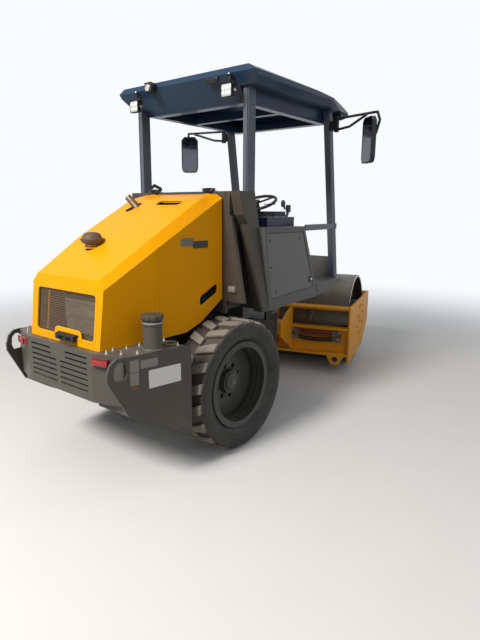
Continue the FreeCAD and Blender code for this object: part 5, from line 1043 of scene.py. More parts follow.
def make_hood_trim():
    """Rims round the hood's hand slot, side openings and exhaust hole, two bare badges, the
    latch's grips: flat rings and slabs turned into the faces' own axes."""
    slope_axes = np.column_stack([(0, 1.0, 0), np.cross(HOOD_SLOPE_OUT, (0, 1.0, 0)), HOOD_SLOPE_OUT])
    slot_middle = hood_slope_spot(-1.090, -0.118)
    outer, inner = rounded_outline(0.300, 0.112, 0.050, 8), rounded_outline(0.256, 0.064, 0.031, 8)
    slot = holed_plate(outer, inner, -0.004, 0.0022).turned(slope_axes).moved(slot_middle)
    # the slot's well is a near-black slab: painted shade inside the hand slot
    well = slab(rounded_outline(0.250, 0.066, 0.030, 8), -0.030, -0.022).turned(slope_axes).moved(slot_middle)
    run = np.array([0.121, -0.039, 0.065])
    run = run / np.linalg.norm(run)
    hole_axes = np.column_stack([run, np.cross(HOOD_SLOPE_OUT, run), HOOD_SLOPE_OUT])
    hole_middle = hood_slope_spot(-1.151, 0.221)
    # a flat near-black slab at the exhaust hole: painted shade of the gap round the pipe
    hole = slab(rounded_outline(0.150, 0.062, 0.030, 8), -0.002, 0.0012).turned(hole_axes).moved(hole_middle)
    outer, inner = rounded_outline(0.162, 0.074, 0.036, 8), rounded_outline(0.148, 0.060, 0.029, 8)
    hole_rim = holed_plate(outer, inner, -0.002, 0.003).turned(hole_axes).moved(hole_middle)
    parts = [(slot, "trim yellow"), (well, "hole dark"), (hole, "hole dark"), (hole_rim, "trim yellow")]

    for side in (-1, 1):
        out = np.array([-0.010, side, 0.0])
        along = np.array([0.212, 0.0, 0.095])
        along = along / np.linalg.norm(along)
        along = along - out * (along @ out)
        vent_axes = np.column_stack([along, np.cross(out, along), out])
        centre = spot(-1.017, side * 0.4452, 1.1925)
        # the opening's top leans back by 0.36 of its height
        lean = np.array([(1.0, -0.36), (0.0, 1.0)])
        outer = rounded_outline(0.262, 0.118, 0.034, 6) @ lean.T * (1, side)
        inner = rounded_outline(0.214, 0.066, 0.026, 6) @ lean.T * (1, side)
        rim = holed_plate(outer, inner, -0.006, 0.0030).turned(vent_axes).moved(centre)
        # the near-black back behind each opening is painted shade of the space behind it
        back = slab(outer * 0.93, -0.030, -0.024).turned(vent_axes).moved(centre)
        blades = repeated(
            rounded_block(0.200, 0.0040, 0.020, 0.0015, 2).turned(vent_axes),
            centre - vent_axes[:, 2] * 0.014 + np.array([-0.016, 0.016])[:, None] * vent_axes[:, 1],
        )
        parts += [(rim, "trim yellow"), (back, "hole dark"), (blades, "black paint")]
    badge_axes = np.column_stack([(1.0, 0, 0), (0, 0, 1.0), (0, -1.0, 0)])
    # columns: x, z, length, height, thickness, finish
    badges = (
        (-1.240, 1.596, 0.128, 0.056, 0.0030, "silver badge"),
        (-1.100, 1.573, 0.158, 0.052, 0.0042, "dark badge"),
    )
    for x, z, long, tall, thick, finish in badges:
        plate = slab(rounded_outline(long, tall, 0.006), -0.002, thick)
        parts.append((plate.turned(badge_axes).moved(spot(x, -0.444, z)), finish))

    low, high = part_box("hood_latch")
    front = np.array([low.x, (low.y + high.y) / 2, (low.z + high.z) / 2])
    # the grips are near black: painted shade of the latch's finger recesses
    grip = rounded_block(0.004, 0.058, 0.018, 0.0018)
    grips = repeated(grip, front + np.array([(0.0006, -0.042, -0.002), (0.0006, 0.042, -0.002)]))
    ridge = rounded_block(0.010, 0.206, 0.010, 0.004).moved(front + (0.007, 0, 0.019))
    parts += [(grips, "hole dark"), (ridge, "black plastic")]
    make_piece("hood_trim", "hood", parts, crease=34)
    places = [spot(-0.829, side * y, 1.9602) for side in (-1, 1) for y in (0.235, 0.365)]
    bolts = repeated(hex_bolt(0.013, 0.008), places)
    make_piece("sill_bolts", "rear_frame", [(bolts, "bright bolt")])


def make_intake():
    """The air intake's mushroom: its profile of heights and radii turned round an upright
    axis, with a bowl under the brim."""
    low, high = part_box("intake_cap")
    foot = np.array([(low.x + high.x) / 2, (low.y + high.y) / 2, 0])
    # the neck takes the exhaust steel, whose brown tint is painted reflection of the yellow hood on a dark
    # neck
    neck = spun([
        (1.520, 0.0), (1.520, 0.0490), (1.556, 0.0490), (1.560, 0.0515), (1.572, 0.0515), (1.576, 0.0485),
        (1.590, 0.0485), (1.590, 0.0),
    ], 40)
    bowl = ring_band([
        (1.584, 0.050), (1.580, 0.060), (1.590, 0.074), (1.606, 0.0815), (1.611, 0.0815), (1.611, 0.050),
    ], 48)
    dome = spun([
        (1.608, 0.0), (1.608, 0.0835), (1.613, 0.0838), (1.617, 0.0825), (1.6195, 0.072), (1.628, 0.068),
        (1.644, 0.061), (1.656, 0.046), (1.662, 0.026), (1.6638, 0.0),
    ], 48)
    collar = ring_band([(1.548, 0.049), (1.548, 0.0560), (1.556, 0.0575), (1.556, 0.049)], 40)
    parts = [(neck, "exhaust steel"), (bowl, "intake brown"), (dome, "intake brown"), (collar, "trim yellow")]
    parts = [(shape.moved(foot), finish) for shape, finish in parts]
    cap = make_piece("air_intake", "hood", parts)
    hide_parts("intake_cap")


def make_lamps():
    """Work lamps as rounded housings with six bowls under a clear lens, in U brackets."""
    low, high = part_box("rear_work_lights")
    for tag, y in (("right", low.y + 0.054), ("left", high.y - 0.054)):
        middle = np.array([low.x + 0.034, y, low.z + 0.052])
        housing = rounded_block(0.038, 0.100, 0.094, 0.012).moved(middle + (0.004, 0, 0))
        lip = carried(
            rounded_outline(0.006, 0.008, 0.0025, 3),
            np.column_stack([np.zeros(20), rounded_outline(0.094, 0.088, 0.012)]) + middle + (-0.016, 0, 0),
            up=(1, 0, 0), closed=True,
        )
        bowl = spun([(0.0, 0.0145), (-0.004, 0.0135), (-0.009, 0.009), (-0.010, 0.004), (-0.007, 0.0)], 20)
        spots = [(-0.0185, step * 0.030, row * 0.034 - 0.017) for step in (-1, 0, 1) for row in (0, 1)]
        bowls = repeated(bowl.turned(axes_from((-1, 0, 0))), np.array(spots) + middle)
        lens = rounded_block(0.004, 0.088, 0.082, 0.0015).moved(middle + (-0.0155, 0, 0))
        heights = np.column_stack([np.zeros(8), np.zeros(8), np.linspace(-0.038, 0.038, 8)])
        fins = repeated(rounded_block(0.014, 0.092, 0.003, 0.001, 2), middle + (0.027, 0, 0) + heights)
        strap = [
            (0, -0.056, -0.004), (0, -0.056, 0.050), (0, -0.05, 0.0565),
            (0, 0.05, 0.0565), (0, 0.056, 0.050), (0, 0.056, -0.004),
        ]
        strap = np.array(strap) + middle + (0.008, 0, 0)
        bracket = carried(rounded_outline(0.003, 0.024, 0.001, 2), strap, up=(1, 0, 0))
        stem = rounded_block(0.012, 0.030, 0.052, 0.004).moved(middle + (0.016, 0, 0.083))
        foot = rounded_block(0.022, 0.050, 0.008, 0.003).moved(middle + (0.012, 0, 0.106))
        pivots = together(*[
            hex_bolt(0.014, 0.008)
            .turned(axes_from((0, sign, 0)))
            .moved(middle + (0.008, sign * 0.0575, -0.001))
            for sign in (-1, 1)
        ])
        nut = hex_bolt(0.014, 0.009).moved(middle + (0.012, 0, 0.110))
        parts = [
            (housing, "black paint"), (lip, "black paint"), (bowls, "lamp reflector"), (lens, "lamp lens"),
            (fins, "black paint"), (bracket, "black paint"), (stem, "black paint"), (foot, "black paint"),
            (pivots, "bare steel"), (nut, "bare steel"),
        ]
        make_piece("work_lamp_" + tag, "rear_frame", parts)
    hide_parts("rear_work_lights")


def make_camera_lamp():
    """The small square lamp on the roof's rear edge with a round plug beside it."""
    low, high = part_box("beacon_socket")
    middle = (np.array(low) + np.array(high)) / 2
    body = rounded_block(0.062, 0.080, 0.076, 0.010).moved(middle)
    hood = rounded_block(0.030, 0.074, 0.010, 0.004).moved(middle + (-0.018, 0, 0.034))
    eye = spun([(0.0, 0.026), (0.004, 0.026), (0.006, 0.022), (0.002, 0.018), (0.001, 0.0)], 28)
    eye = eye.turned(axes_from((-1, 0, 0))).moved(middle + (-0.031, 0, -0.002))
    plug = spun([(0, 0.016), (0.016, 0.016), (0.02, 0.013), (0.02, 0.0)], 20)
    plug = plug.turned(axes_from((0, 1, 0))).moved(middle + (0.0, 0.020, 0.0))
    parts = [(body, "black plastic"), (hood, "black plastic"), (eye, "lamp lens"), (plug, "black plastic")]
    lamp = make_piece("roof_camera_lamp", "rear_frame", parts)
    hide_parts("beacon_socket")


def make_tail_lenses():
    """Ribbed lenses on the tail lamps' outer faces."""
    run_x, run_y = 0.068, 0.700 - 0.016 - 0.368
    for tag, side in (("left", 1), ("right", -1)):
        start = np.array([-2.040, 0.368 * side])
        along = np.array([run_x, run_y * side])
        along = along / np.linalg.norm(along)
        out = np.array([-abs(along[1]), along[0] * side])
        out = out / np.linalg.norm(out)
        centre = start + along * 0.092 + out * 0.0235
        where = spot(centre[0], centre[1], 0.892)
        axes = axes_from((out[0], out[1], 0))
        lens = rounded_block(0.110, 0.038, 0.008, 0.003).turned(axes).moved(where)
        ribs = repeated(
            rounded_block(0.0035, 0.032, 0.004, 0.0012, 2).turned(axes),
            where + axes[:, 2] * 0.0035 + np.linspace(-0.046, 0.046, 16)[:, None] * axes[:, 0],
        )
        path = np.column_stack([rounded_outline(0.116, 0.044, 0.006), np.zeros(20)])
        path = path @ axes.T + where - axes[:, 2] * 0.001
        frame_ring = carried(rounded_outline(0.005, 0.006, 0.002, 2), path, up=tuple(axes[:, 2]), closed=True)
        parts = [(lens, "red lens"), (ribs, "red lens"), (frame_ring, "black plastic")]
        make_piece("tail_lens_" + tag, "rear_frame", parts)


def make_mirror_glass():
    """A glass plate on each mirror's rear-facing side, its outline the head's own."""
    outline = np.array([
        (-0.079, -0.138), (-0.066, -0.170), (-0.050, -0.177), (0.050, -0.177), (0.066, -0.170),
        (0.079, -0.138), (0.079, 0.148), (0.055, 0.177), (-0.055, 0.177), (-0.079, 0.148),
    ])
    for tag, side in (("left", 1), ("right", -1)):
        turn = math.radians(38) * side
        out = np.array([-math.cos(turn), -math.sin(turn), 0])
        axes = axes_from(out)
        where = spot(0.365, 1.045 * side, 2.406) + out * 0.0185
        glass = slab(outline, 0.0, 0.0022).turned(axes).moved(where)
        path = np.column_stack([outline * 1.04, np.full(len(outline), 0.001)]) @ axes.T + where
        rim = carried(rounded_outline(0.006, 0.006, 0.002, 3), path, up=tuple(out), closed=True)
        parts = [(glass, "mirror glass"), (rim, "black plastic")]
        make_piece("mirror_glass_" + tag, "rear_frame", parts)


def puffed(name, body, shape, swell, nodes):
    """A cushion's skin blown up a little as cloth, then smoothed."""
    piece = make_piece(name, body, [(shape, "seat vinyl")])
    remesh = piece.modifiers.new("voxels", "REMESH")
    remesh.mode = "VOXEL"
    remesh.voxel_size = 0.007
    apply_all(piece)
    before = corner_array(piece)
    cloth = piece.modifiers.new("swell", "CLOTH")
    cloth.settings.quality = 5
    cloth.settings.use_pressure = True
    cloth.settings.uniform_pressure_force = 4.0
    cloth.settings.effector_weights.gravity = 0.0
    cloth.settings.tension_stiffness = 20
    cloth.settings.compression_stiffness = 20
    cloth.settings.bending_stiffness = 1.0
    cloth.point_cache.frame_start = 1
    cloth.point_cache.frame_end = 20
    scene = bpy.context.scene
    for number in range(1, 21):
        scene.frame_set(number)
    apply_all(piece)
    after = corner_array(piece)
    step = after - before
    length = np.maximum(np.linalg.norm(step, axis=1, keepdims=True), 1e-9)
    limited = before + step * np.minimum(length, swell) / length
    piece.data.vertices.foreach_set("co", limited.ravel())
    piece.data.update()
    scene.frame_set(1)
    piece.data.shade_smooth()
    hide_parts(*nodes)
    return piece


def corner_array(piece):
    values = np.zeros(len(piece.data.vertices) * 3)
    piece.data.vertices.foreach_get("co", values)
    return values.reshape(-1, 3)


def apply_all(piece):
    """The piece's modifiers made part of its mesh."""
    bpy.context.view_layer.update()
    shown = piece.evaluated_get(bpy.context.evaluated_depsgraph_get())
    mesh = bpy.data.meshes.new_from_object(shown)
    piece.modifiers.clear()
    piece.data = mesh


def crowned_pad(length, width, height, crown, pull, channels, rows=28, columns=28):
    """A pad as a closed grid: its top is raised by crown times (1-u^2)(1-v^2) to the power
    0.4, its sides drawn in between the corners by pull, with channels sewn across."""
    u = np.sin(np.linspace(-math.pi / 2, math.pi / 2, rows))
    v = np.sin(np.linspace(-math.pi / 2, math.pi / 2, columns))
    grid_u, grid_v = np.meshgrid(u, v, indexing="ij")
    x = grid_u * (length / 2 - pull * (1 - grid_v**2))
    y = grid_v * (width / 2 - pull * (1 - grid_u**2))
    bulge = np.clip((1 - grid_u**2) * (1 - grid_v**2), 0, 1) ** 0.4
    seams = sum(np.exp(-(((grid_v - place) * width / 2) / 0.006) ** 2) for place in channels)
    top = height / 2 - crown + crown * bulge - 0.010 * seams * (bulge > 0)
    under = np.full_like(top, -height / 2) + 0.010 * (1 - bulge)
    count = rows * columns
    edge = np.concatenate([
        np.arange(columns), np.arange(1, rows) * columns + columns - 1,
        count - 2 - np.arange(columns - 1), (rows - 2 - np.arange(rows - 2)) * columns,
    ])
    wall = np.stack([edge, np.roll(edge, -1), np.roll(edge, -1) + count, edge + count], axis=-1)
    points = np.concatenate([np.stack([x, y, level], axis=-1).reshape(-1, 3) for level in (top, under)])
    faces = grid_faces(rows, columns)
    return Shape(points, faces, faces[:, ::-1] + count, wall)


def make_seat():
    """Cushion and backrest as crowned pads, swollen as cloth."""
    swell = sizes().cushion_swell
    low, high = (np.array(corner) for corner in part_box("seat_cushion"))
    middle = (low + high) / 2
    length, width, height = high - low
    pad = crowned_pad(length - 0.06, width - 0.05, height - 0.016, 0.026, 0.010, (-0.55, 0.55))
    pad = pad.moved(middle - (0, 0, 0.004))
    puffed("seat_cushion_vinyl", "rear_frame", pad, swell, ("seat_cushion",))
    low, high = (np.array(corner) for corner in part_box("seat_backrest"))
    middle = (low + high) / 2
    depth, width, tall = high - low
    pad = crowned_pad(tall - 0.05, width - 0.05, depth - 0.016, 0.022, 0.012, (-0.5, 0.5))
    axes = np.column_stack([(0, 0, 1.0), (0, -1.0, 0), (1.0, 0, 0)])
    pad = pad.turned(axes).moved(middle)
    puffed("seat_backrest_vinyl", "rear_frame", pad, swell, ("seat_backrest",))


def side_plate_spot(x, z):
    """A point on the right tank side plate's outer face."""
    return spot(x, -(SIDE_PLATE_Y + SIDE_PLATE_LEAN * (x - SIDE_PLATE_X)), z)


def side_plate_axes():
    """Axes on the right tank side plate: x along it, y upright, z outward."""
    normal = np.array((-SIDE_PLATE_LEAN, -1, 0.0)) / math.hypot(SIDE_PLATE_LEAN, 1.0)
    up = np.array((0, 0, 1.0))
    return np.column_stack([np.cross(up, normal), up, normal])


def make_bolts():
    """Zinc bolts on the tank tops and painted ones on the drum's frame."""
    size = sizes().bolt_size
    shank = spun([(0.0, 0.0), (0.0, 0.0045), (0.023, 0.0045), (0.024, 0.0035), (0.024, 0.0)], 12)
    bolt = together(hex_bolt(size * 0.85, 0.010), shank)
    rows = [
        (-1.985, 0.456), (-1.916, 0.432), (-1.938, 0.540), (-1.827, 0.458), (-1.863, 0.604),
        (-1.729, 0.469), (-1.764, 0.617), (-1.664, 0.644), (-1.536, 0.497), (-1.562, 0.655),
    ]
    # the right tank has none this near to the filler's middle
    filler_reach = 0.085
    left = [spot(x, y, TANK_TOP) for x, y in rows]
    right = [
        spot(x, -y, TANK_TOP) for x, y in rows if math.hypot(x - FILLER_X, y + FILLER_Y) > filler_reach
    ]
    tank_bolts = repeated(bolt, right + left)
    make_piece("tank_bolts", "rear_frame", [(tank_bolts, "bright bolt")])
    outer, circle_radius = 0.735 + 0.020, 0.17
    flange = hex_bolt(0.024, 0.013)
    parts = []
    for side in (-1, 1):
        axes = TURN @ axes_from((0, side, 0))
        turn = np.arange(8) * math.pi / 4 + math.pi / 8
        ring = [
            front_spot(
                PIVOT_TO_DRUM + circle_radius * math.cos(a), outer * side,
                DRUM_AXIS_Z + circle_radius * math.sin(a),
            )
            for a in turn
        ]
        parts.append((repeated(flange.turned(axes), ring), "drum frame yellow"))
        hub = spun([(0.0, 0.0), (0.0, 0.052), (0.004, 0.052), (0.006, 0.049), (0.006, 0.0)], 32)
        hub = hub.turned(axes).moved(front_spot(PIVOT_TO_DRUM, outer * side, DRUM_AXIS_Z))
        parts.append((hub, "drum frame yellow"))
    make_piece("drum_frame_bolts", "drum_frame", parts)


def make_blank_plates():
    """Bare plates on the right side plate, each a thin slab with round corners."""
    axes = side_plate_axes()
    # columns: x, z, length, height, finish
    rows = (
        (-1.907, 0.8735, 0.062, 0.078, "grey plate"),
        (-1.910, 0.7900, 0.062, 0.082, "grey plate"),
        (-1.908, 0.7320, 0.062, 0.024, "brown strip"),
        (-1.803, 0.8740, 0.126, 0.055, "grey plate"),
        (-1.6875, 0.7655, 0.246, 0.120, "pale plate"),
    )
    parts = []
    for x, z, long, tall, finish in rows:
        plate = slab(rounded_outline(long, tall, 0.004, 3), -0.001, 0.0016)
        parts.append((plate.turned(axes).moved(side_plate_spot(x, z)), finish))
    make_piece("blank_plates", "rear_frame", parts)


def make_console_trim():
    """Screws, a latch and a dark groove on the console's cover, a switch box on the wall
    beside it, a lever with its knob and six buttons above the armrest, and a plate inside
    each leg."""
    face = -0.664
    outward = axes_from((0, -1, 0))
    rows = ((-0.528, 1.585), (-0.085, 1.585), (-0.430, 1.165), (-0.505, 1.370))
    screws = repeated(countersunk(0.018, 0.004).turned(outward), [spot(x, face, z) for x, z in rows])
    latch = rounded_block(0.034, 0.012, 0.050, 0.004).moved(spot(0.118, face - 0.003, 1.215))
    turn_knob = spun([(0.0, 0.0), (0.0, 0.012), (0.005, 0.012), (0.006, 0.010), (0.006, 0.0)], 20)
    turn_knob = turn_knob.turned(outward).moved(spot(0.118, face - 0.009, 1.215))
    # columns: x, z of the cover's corners, for the dark groove round it
    corners = np.array([(-0.566, 1.637), (-0.056, 1.637), (0.172, 1.113), (-0.452, 1.113)])
    path = [spot(x, face + 0.0045, z) for x, z in corners]
    ring = np.concatenate([np.linspace(a, b, 6, endpoint=False) for a, b in zip(path, path[1:] + path[:1])])
    groove = carried(rounded_outline(0.008, 0.004, 0.001, 2), ring, up=(0, -1, 0), closed=True)
    box = rounded_block(0.024, 0.072, 0.052, 0.006).moved(spot(-0.852, -0.543, 1.222))
    lid = rounded_block(0.006, 0.060, 0.040, 0.0025).moved(spot(-0.865, -0.543, 1.222))
    parts = [
        (screws, "black paint"), (latch, "black plastic"), (turn_knob, "bright bolt"),
        (groove, "black paint"), (box, "silver badge"), (lid, "grey plate"),
    ]
    low, high = (np.array(corner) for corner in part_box("armrest_console"))
    centre = (low + high) / 2
    lever_path = [
        centre + (0.130, 0.0, 0.050), centre + (0.129, 0.003, 0.070), centre + (0.124, 0.006, 0.086),
        centre + (0.116, 0.010, 0.100),
    ]
    lever = carried(circle(0.008, 12), smooth_path(lever_path, 4), up=(0, 1, 0))
    knob = spun([
        (-0.030, 0.0), (-0.030, 0.012), (-0.012, 0.018), (0.008, 0.020), (0.022, 0.016), (0.030, 0.008),
        (0.032, 0.0),
    ], 20)
    knob = knob.moved(lever_path[-1])
    button = spun([(0.0, 0.0), (0.0, 0.010), (0.006, 0.010), (0.008, 0.007), (0.008, 0.0)], 16)
    places = [
        (centre[0] + x, centre[1] + y, high[2] - 0.001) for x in (-0.14, -0.10, -0.06) for y in (-0.02, 0.02)
    ]
    buttons = repeated(button, places)
    shield = slab([(-0.814, 1.070), (-0.622, 1.070), (-0.622, 1.950), (-0.814, 1.950)], -0.003, 0.003)
    shield = shield.turned([[1, 0, 0], [0, 0, -1], [0, 1, 0]])
    shields = [(shield.moved(spot(0, side * 0.480, 0)), "leg grey") for side in (-1, 1)]
    parts += [(lever, "black plastic"), (knob, "black plastic"), (buttons, "black plastic"), *shields]
    make_piece("console_trim", "rear_frame", parts)


def make_roof_trim():
    """A small bracket with two bolt heads on the roof's rear edge."""
    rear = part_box("roof_panel")[0].x
    plate = rounded_block(0.012, 0.112, 0.044, 0.004).moved((rear + 0.001, spot(0, -0.330, 0)[1], 2.752))
    bolts = repeated(
        hex_bolt(0.012, 0.006).turned(axes_from((-1, 0, 0))),
        [(rear - 0.005, spot(0, y, 0)[1], 2.752) for y in (-0.368, -0.292)],
    )
    parts = [(plate, "black paint"), (bolts, "black paint")]
    make_piece("roof_trim", "rear_frame", parts)


def make_drum_trim():
    """The scraper's flat strut above the rear beam, in the drum's frame."""
    rear = PIVOT_TO_DRUM - BEAM_BEHIND_DRUM
    foot, head = front_spot(rear + 0.045, -0.292, 0.590), front_spot(rear + 0.100, -0.312, 0.722)
    outline = rounded_outline(0.014, 0.040, 0.003, 3)
    strut = carried(outline, [foot, (foot + head) / 2, head], up=tuple(TURN[:, 0]))
    make_piece("drum_frame_trim", "drum_frame", [(strut, "silver badge")])


def make_hoses():
    """Hoses side by side in the rear beam, each a circle carried along a smooth path, with
    crimped ends, adaptors and a valve block at each end."""
    rear = PIVOT_TO_DRUM - BEAM_BEHIND_DRUM
    parts = []
    # columns: height, radius, finish, sag
    hoses = (
        (0.478, 0.0150, "hose red", 0.004), (0.446, 0.0150, "hose red", 0.006),
        (0.412, 0.0105, "hose black", 0.014), (0.390, 0.0105, "hose black", 0.020),
    )
    for z, radius, finish, sag in hoses:
        v = np.linspace(-0.60, -0.13, 7)
        bow = 1 - ((v + 0.365) / 0.235) ** 2
        path = [front_spot(rear + 0.030 - 0.006 * b, y, z - sag * b) for y, b in zip(v, bow)]
        parts.append((carried(circle(radius, 14), smooth_path(path, 6)), finish))
        for start, end in ((-0.600, -0.560), (-0.175, -0.130)):
            ends = [front_spot(rear + 0.030, start, z), front_spot(rear + 0.030, end, z)]
            parts.append((carried(circle(radius * 1.2, 14), ends), "silver badge"))
        for v_nut in (-0.606, -0.126):
            nut = spun([(-0.008, 0.0), (-0.008, radius * 1.35), (0.008, radius * 1.35), (0.008, 0.0)], 6, "y")
            parts.append((nut.turned(TURN).moved(front_spot(rear + 0.030, v_nut, z)), "silver badge"))
    outward = TURN @ axes_from((-1, 0, 0))
    for v, finish in ((-0.632, "hose red"), (-0.098, "chassis black")):
        block = rounded_block(0.050, 0.046, 0.120, 0.005).turned(TURN)
        block = block.moved(front_spot(rear + 0.036, v, 0.436))
        plate = rounded_block(0.006, 0.060, 0.050, 0.002).turned(TURN)
        plate = plate.moved(front_spot(rear + 0.008, v, 0.395))
        disc = spun([
            (0.0, 0.0), (0.0, 0.026), (0.010, 0.026), (0.013, 0.022), (0.013, 0.012), (0.022, 0.012),
            (0.022, 0.0),
        ], 24)
        disc = disc.turned(outward).moved(front_spot(rear + 0.016, v, 0.482))
        places = [front_spot(rear + 0.005, v + y, z) for y in (-0.02, 0.02) for z in (0.378, 0.412)]
        heads = repeated(hex_bolt(0.014, 0.008).turned(outward), places)
        parts += [(block, finish), (plate, "grey plate"), (disc, "silver badge"), (heads, "silver badge")]
    bundle = make_piece("hose_bundle", "drum_frame", parts)
    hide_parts("hydraulic_lines")


def make_filler_trim():
    """The filler's neck and its lugged cap, whose radius waves with the angle round it, and
    the round cover behind it, with its rim."""
    centre = spot(FILLER_X, FILLER_Y, TANK_TOP)
    lugs = 9
    angle = np.arange(144) * 2 * math.pi / 144
    wave = 0.0715 + 0.0030 * np.clip(np.cos(angle * lugs) * 1.8, -1, 1)
    heights = np.array([0.196, 0.199, 0.222, 0.2265])
    trims = np.array([0.965, 1.0, 1.0, 0.955])
    radius = wave[None] * trims[:, None]
    level = heights[:, None] + 0 * radius
    points = np.stack([radius * np.cos(angle), radius * np.sin(angle), level], axis=-1)
    rings = np.arange(4 * len(angle)).reshape(4, -1)
    cap = Shape(points, grid_faces(4, len(angle), around=True), rings[:1, ::-1], rings[-1:])
    button = spun([
        (0.2255, 0.0), (0.2255, 0.040), (0.2285, 0.038), (0.2285, 0.022), (0.2310, 0.020), (0.2318, 0.010),
        (0.2318, 0.0),
    ], 32)
    tube = spun([(0.0, 0.0), (0.0, 0.0625), (0.180, 0.0625), (0.180, 0.0)], 48)
    foot = ring_band([
        (-0.001, 0.061), (-0.001, 0.072), (0.003, 0.072), (0.008, 0.065), (0.012, 0.063), (0.012, 0.061),
    ], 48)
    collar = ring_band([
        (0.160, 0.060), (0.160, 0.0660), (0.163, 0.0680), (0.176, 0.0680), (0.179, 0.0660), (0.188, 0.0650),
        (0.188, 0.056), (0.197, 0.056), (0.197, 0.050), (0.176, 0.050),
    ], 48)
    band = ring_band([(0.176, 0.0660), (0.176, 0.0690), (0.180, 0.0690), (0.180, 0.0660)], 48)
    parts = [
        (cap, "cap grey"), (button, "cap grey"), (tube, "tank grey"), (foot, "tank grey"),
        (collar, "tank grey"), (band, "bright bolt"),
    ]
    cover = spot(-1.560, -0.585, TANK_TOP)
    lid = spun([(0.0, 0.0), (0.0, 0.046), (0.005, 0.046), (0.008, 0.042), (0.008, 0.0)], 40)
    ring = ring_band([
        (0.0, 0.0455), (0.0, 0.0510), (0.008, 0.0510), (0.0105, 0.0490), (0.0105, 0.0465), (0.005, 0.0455),
    ], 48)
    places = [(0.036 * math.cos(a), 0.036 * math.sin(a), 0.009) for a in np.arange(4) * math.pi / 2]
    screws = repeated(countersunk(0.010, 0.002), places)
    parts = [(shape.moved(centre), finish) for shape, finish in parts]
    covers = [(lid, "chassis black"), (ring, "grey plate"), (screws, "bright bolt")]
    parts += [(shape.moved(cover), finish) for shape, finish in covers]
    neck = make_piece("filler_cap", "rear_frame", parts)
    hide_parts("filler_neck")


def seen_directly(tree):
    """1 for rays from the camera, off a gloss or through glass, 0 for those that only light."""
    path = tree.add("ShaderNodeLightPath").outputs
    seen = tree.maths("MAXIMUM", path["Is Camera Ray"], path["Is Glossy Ray"])
    return tree.maths("MAXIMUM", seen, path["Is Transmission Ray"])


def make_stage():
    """A pale floor that fades into the white surroundings, two soft lamps and the
    photograph's viewpoint."""
    scene = bpy.context.scene
    scene.view_settings.view_transform = "Standard"
    white = (0.95, 0.97, 1.0, 1)
    reach = np.linspace(-40, 40, 3)
    x, y = np.meshgrid(reach, reach, indexing="ij")
    points = np.stack([x, y, 0 * x - 0.001], axis=-1).reshape(-1, 3)
    mesh = bpy.data.meshes.new("floor")
    mesh.from_pydata(points.tolist(), [], grid_faces(3, 3)[:, ::-1].tolist())
    floor = bpy.data.objects.new("floor", mesh)
    scene.collection.objects.link(floor)
    tree, shader, vector = start_material("pale floor")
    seen = seen_directly(tree)
    grain = tree.noise(vector, 3.0, 3.0)
    pale = tree.blend(grain, (0.83, 0.83, 0.82, 1), (0.87, 0.87, 0.86, 1))
    tree.feed(shader, {
        "Base Color": tree.blend(seen, (0.36, 0.355, 0.34, 1), pale), "Roughness": 0.9,
        "Specular IOR Level": 0.1,
    })
    distance = tree.add("ShaderNodeVectorMath", {0: vector}, operation="LENGTH").outputs["Value"]
    fade = tree.maths("MULTIPLY", tree.ramp(distance, 2.8, 9.0), seen)
    glow = tree.add("ShaderNodeEmission", {"Color": white, "Strength": 1.0}).outputs[0]
    cover = tree.add("ShaderNodeMixShader", {0: fade, 1: shader.outputs[0], 2: glow})
    tree.feed(tree.tree.nodes["Material Output"], {"Surface": cover.outputs[0]})
    mesh.materials.append(bpy.data.materials["pale floor"])
    world = bpy.data.worlds.new("studio")
    world.use_nodes = True
    tree = Tree(world.node_tree)
    lighting, shown = 0.34, 1.0
    strength = tree.maths("MULTIPLY_ADD", seen_directly(tree), shown - lighting, lighting)
    tree.feed(world.node_tree.nodes["Background"], {"Color": white, "Strength": strength})
    scene.world = world
    lamps = (
        ("key", (-7.8, 0.2, 6.6), 2.4, 745.0, (1.0, 0.95, 0.88)),
        ("fill", (-3.5, -7.5, 4.0), 6.0, 40.0, (0.93, 0.96, 1.0)),
    )
    for name, place, width, power, tint in lamps:
        light = bpy.data.lights.new(name, "AREA")
        light.shape = "DISK"
        light.size = width
        light.energy = power
        light.color = tint
        lamp = bpy.data.objects.new(name, light)
        scene.collection.objects.link(lamp)
        lamp.matrix_world = view_matrix(np.array(place), np.array((0, 0, 1.0)) - np.array(place), 0.0)
    data = bpy.data.cameras.new("viewpoint")
    data.sensor_fit = "VERTICAL"
    data.sensor_height = 36.0
    data.sensor_width = 36.0
    focal_pixels, picture_height = 505.6, 640
    data.lens = focal_pixels / picture_height * 36.0
    data.clip_start, data.clip_end = 0.05, 200
    camera = bpy.data.objects.new("viewpoint", data)
    scene.collection.objects.link(camera)
    yaw, pitch, roll = (math.radians(angle) for angle in (38.11, 12.26, -0.36))
    ahead = (math.cos(yaw) * math.cos(pitch), math.sin(yaw) * math.cos(pitch), -math.sin(pitch))
    camera.matrix_world = view_matrix(spot(-3.856, -2.979, 1.820), np.array(ahead), roll)
    scene.camera = camera


def view_matrix(place, ahead, roll):
    """The matrix of an object at a place that looks ahead, rolled about that line."""
    ahead = ahead / np.linalg.norm(ahead)
    right = np.cross(ahead, (0, 0, 1))
    right /= np.linalg.norm(right)
    down = np.cross(ahead, right)
    turned_right = math.cos(roll) * right + math.sin(roll) * down
    turned_down = -math.sin(roll) * right + math.cos(roll) * down
    matrix = np.eye(4)
    matrix[:3, 0], matrix[:3, 1], matrix[:3, 2], matrix[:3, 3] = turned_right, -turned_down, -ahead, place
    return Matrix(matrix.tolist())


# Operators


class ROLLER_OT_stage(Operator):
    """Add the floor, the surroundings, the lamps and the camera"""

    bl_idname = "roller.stage"
    bl_label = "Stage"

    def execute(self, context):
        make_stage()
        return {"FINISHED"}


class ROLLER_OT_finishes(Operator):
    """Make the shared node groups and every finish, and dress the frame's own parts"""

    bl_idname = "roller.finishes"
    bl_label = "Finishes"

    def execute(self, context):
        group_settled_dust()
        group_worn_edges()
        group_fine_grain()
        group_leather()
        group_streaks()
        make_finishes()
        dress_nodes()
        return {"FINISHED"}


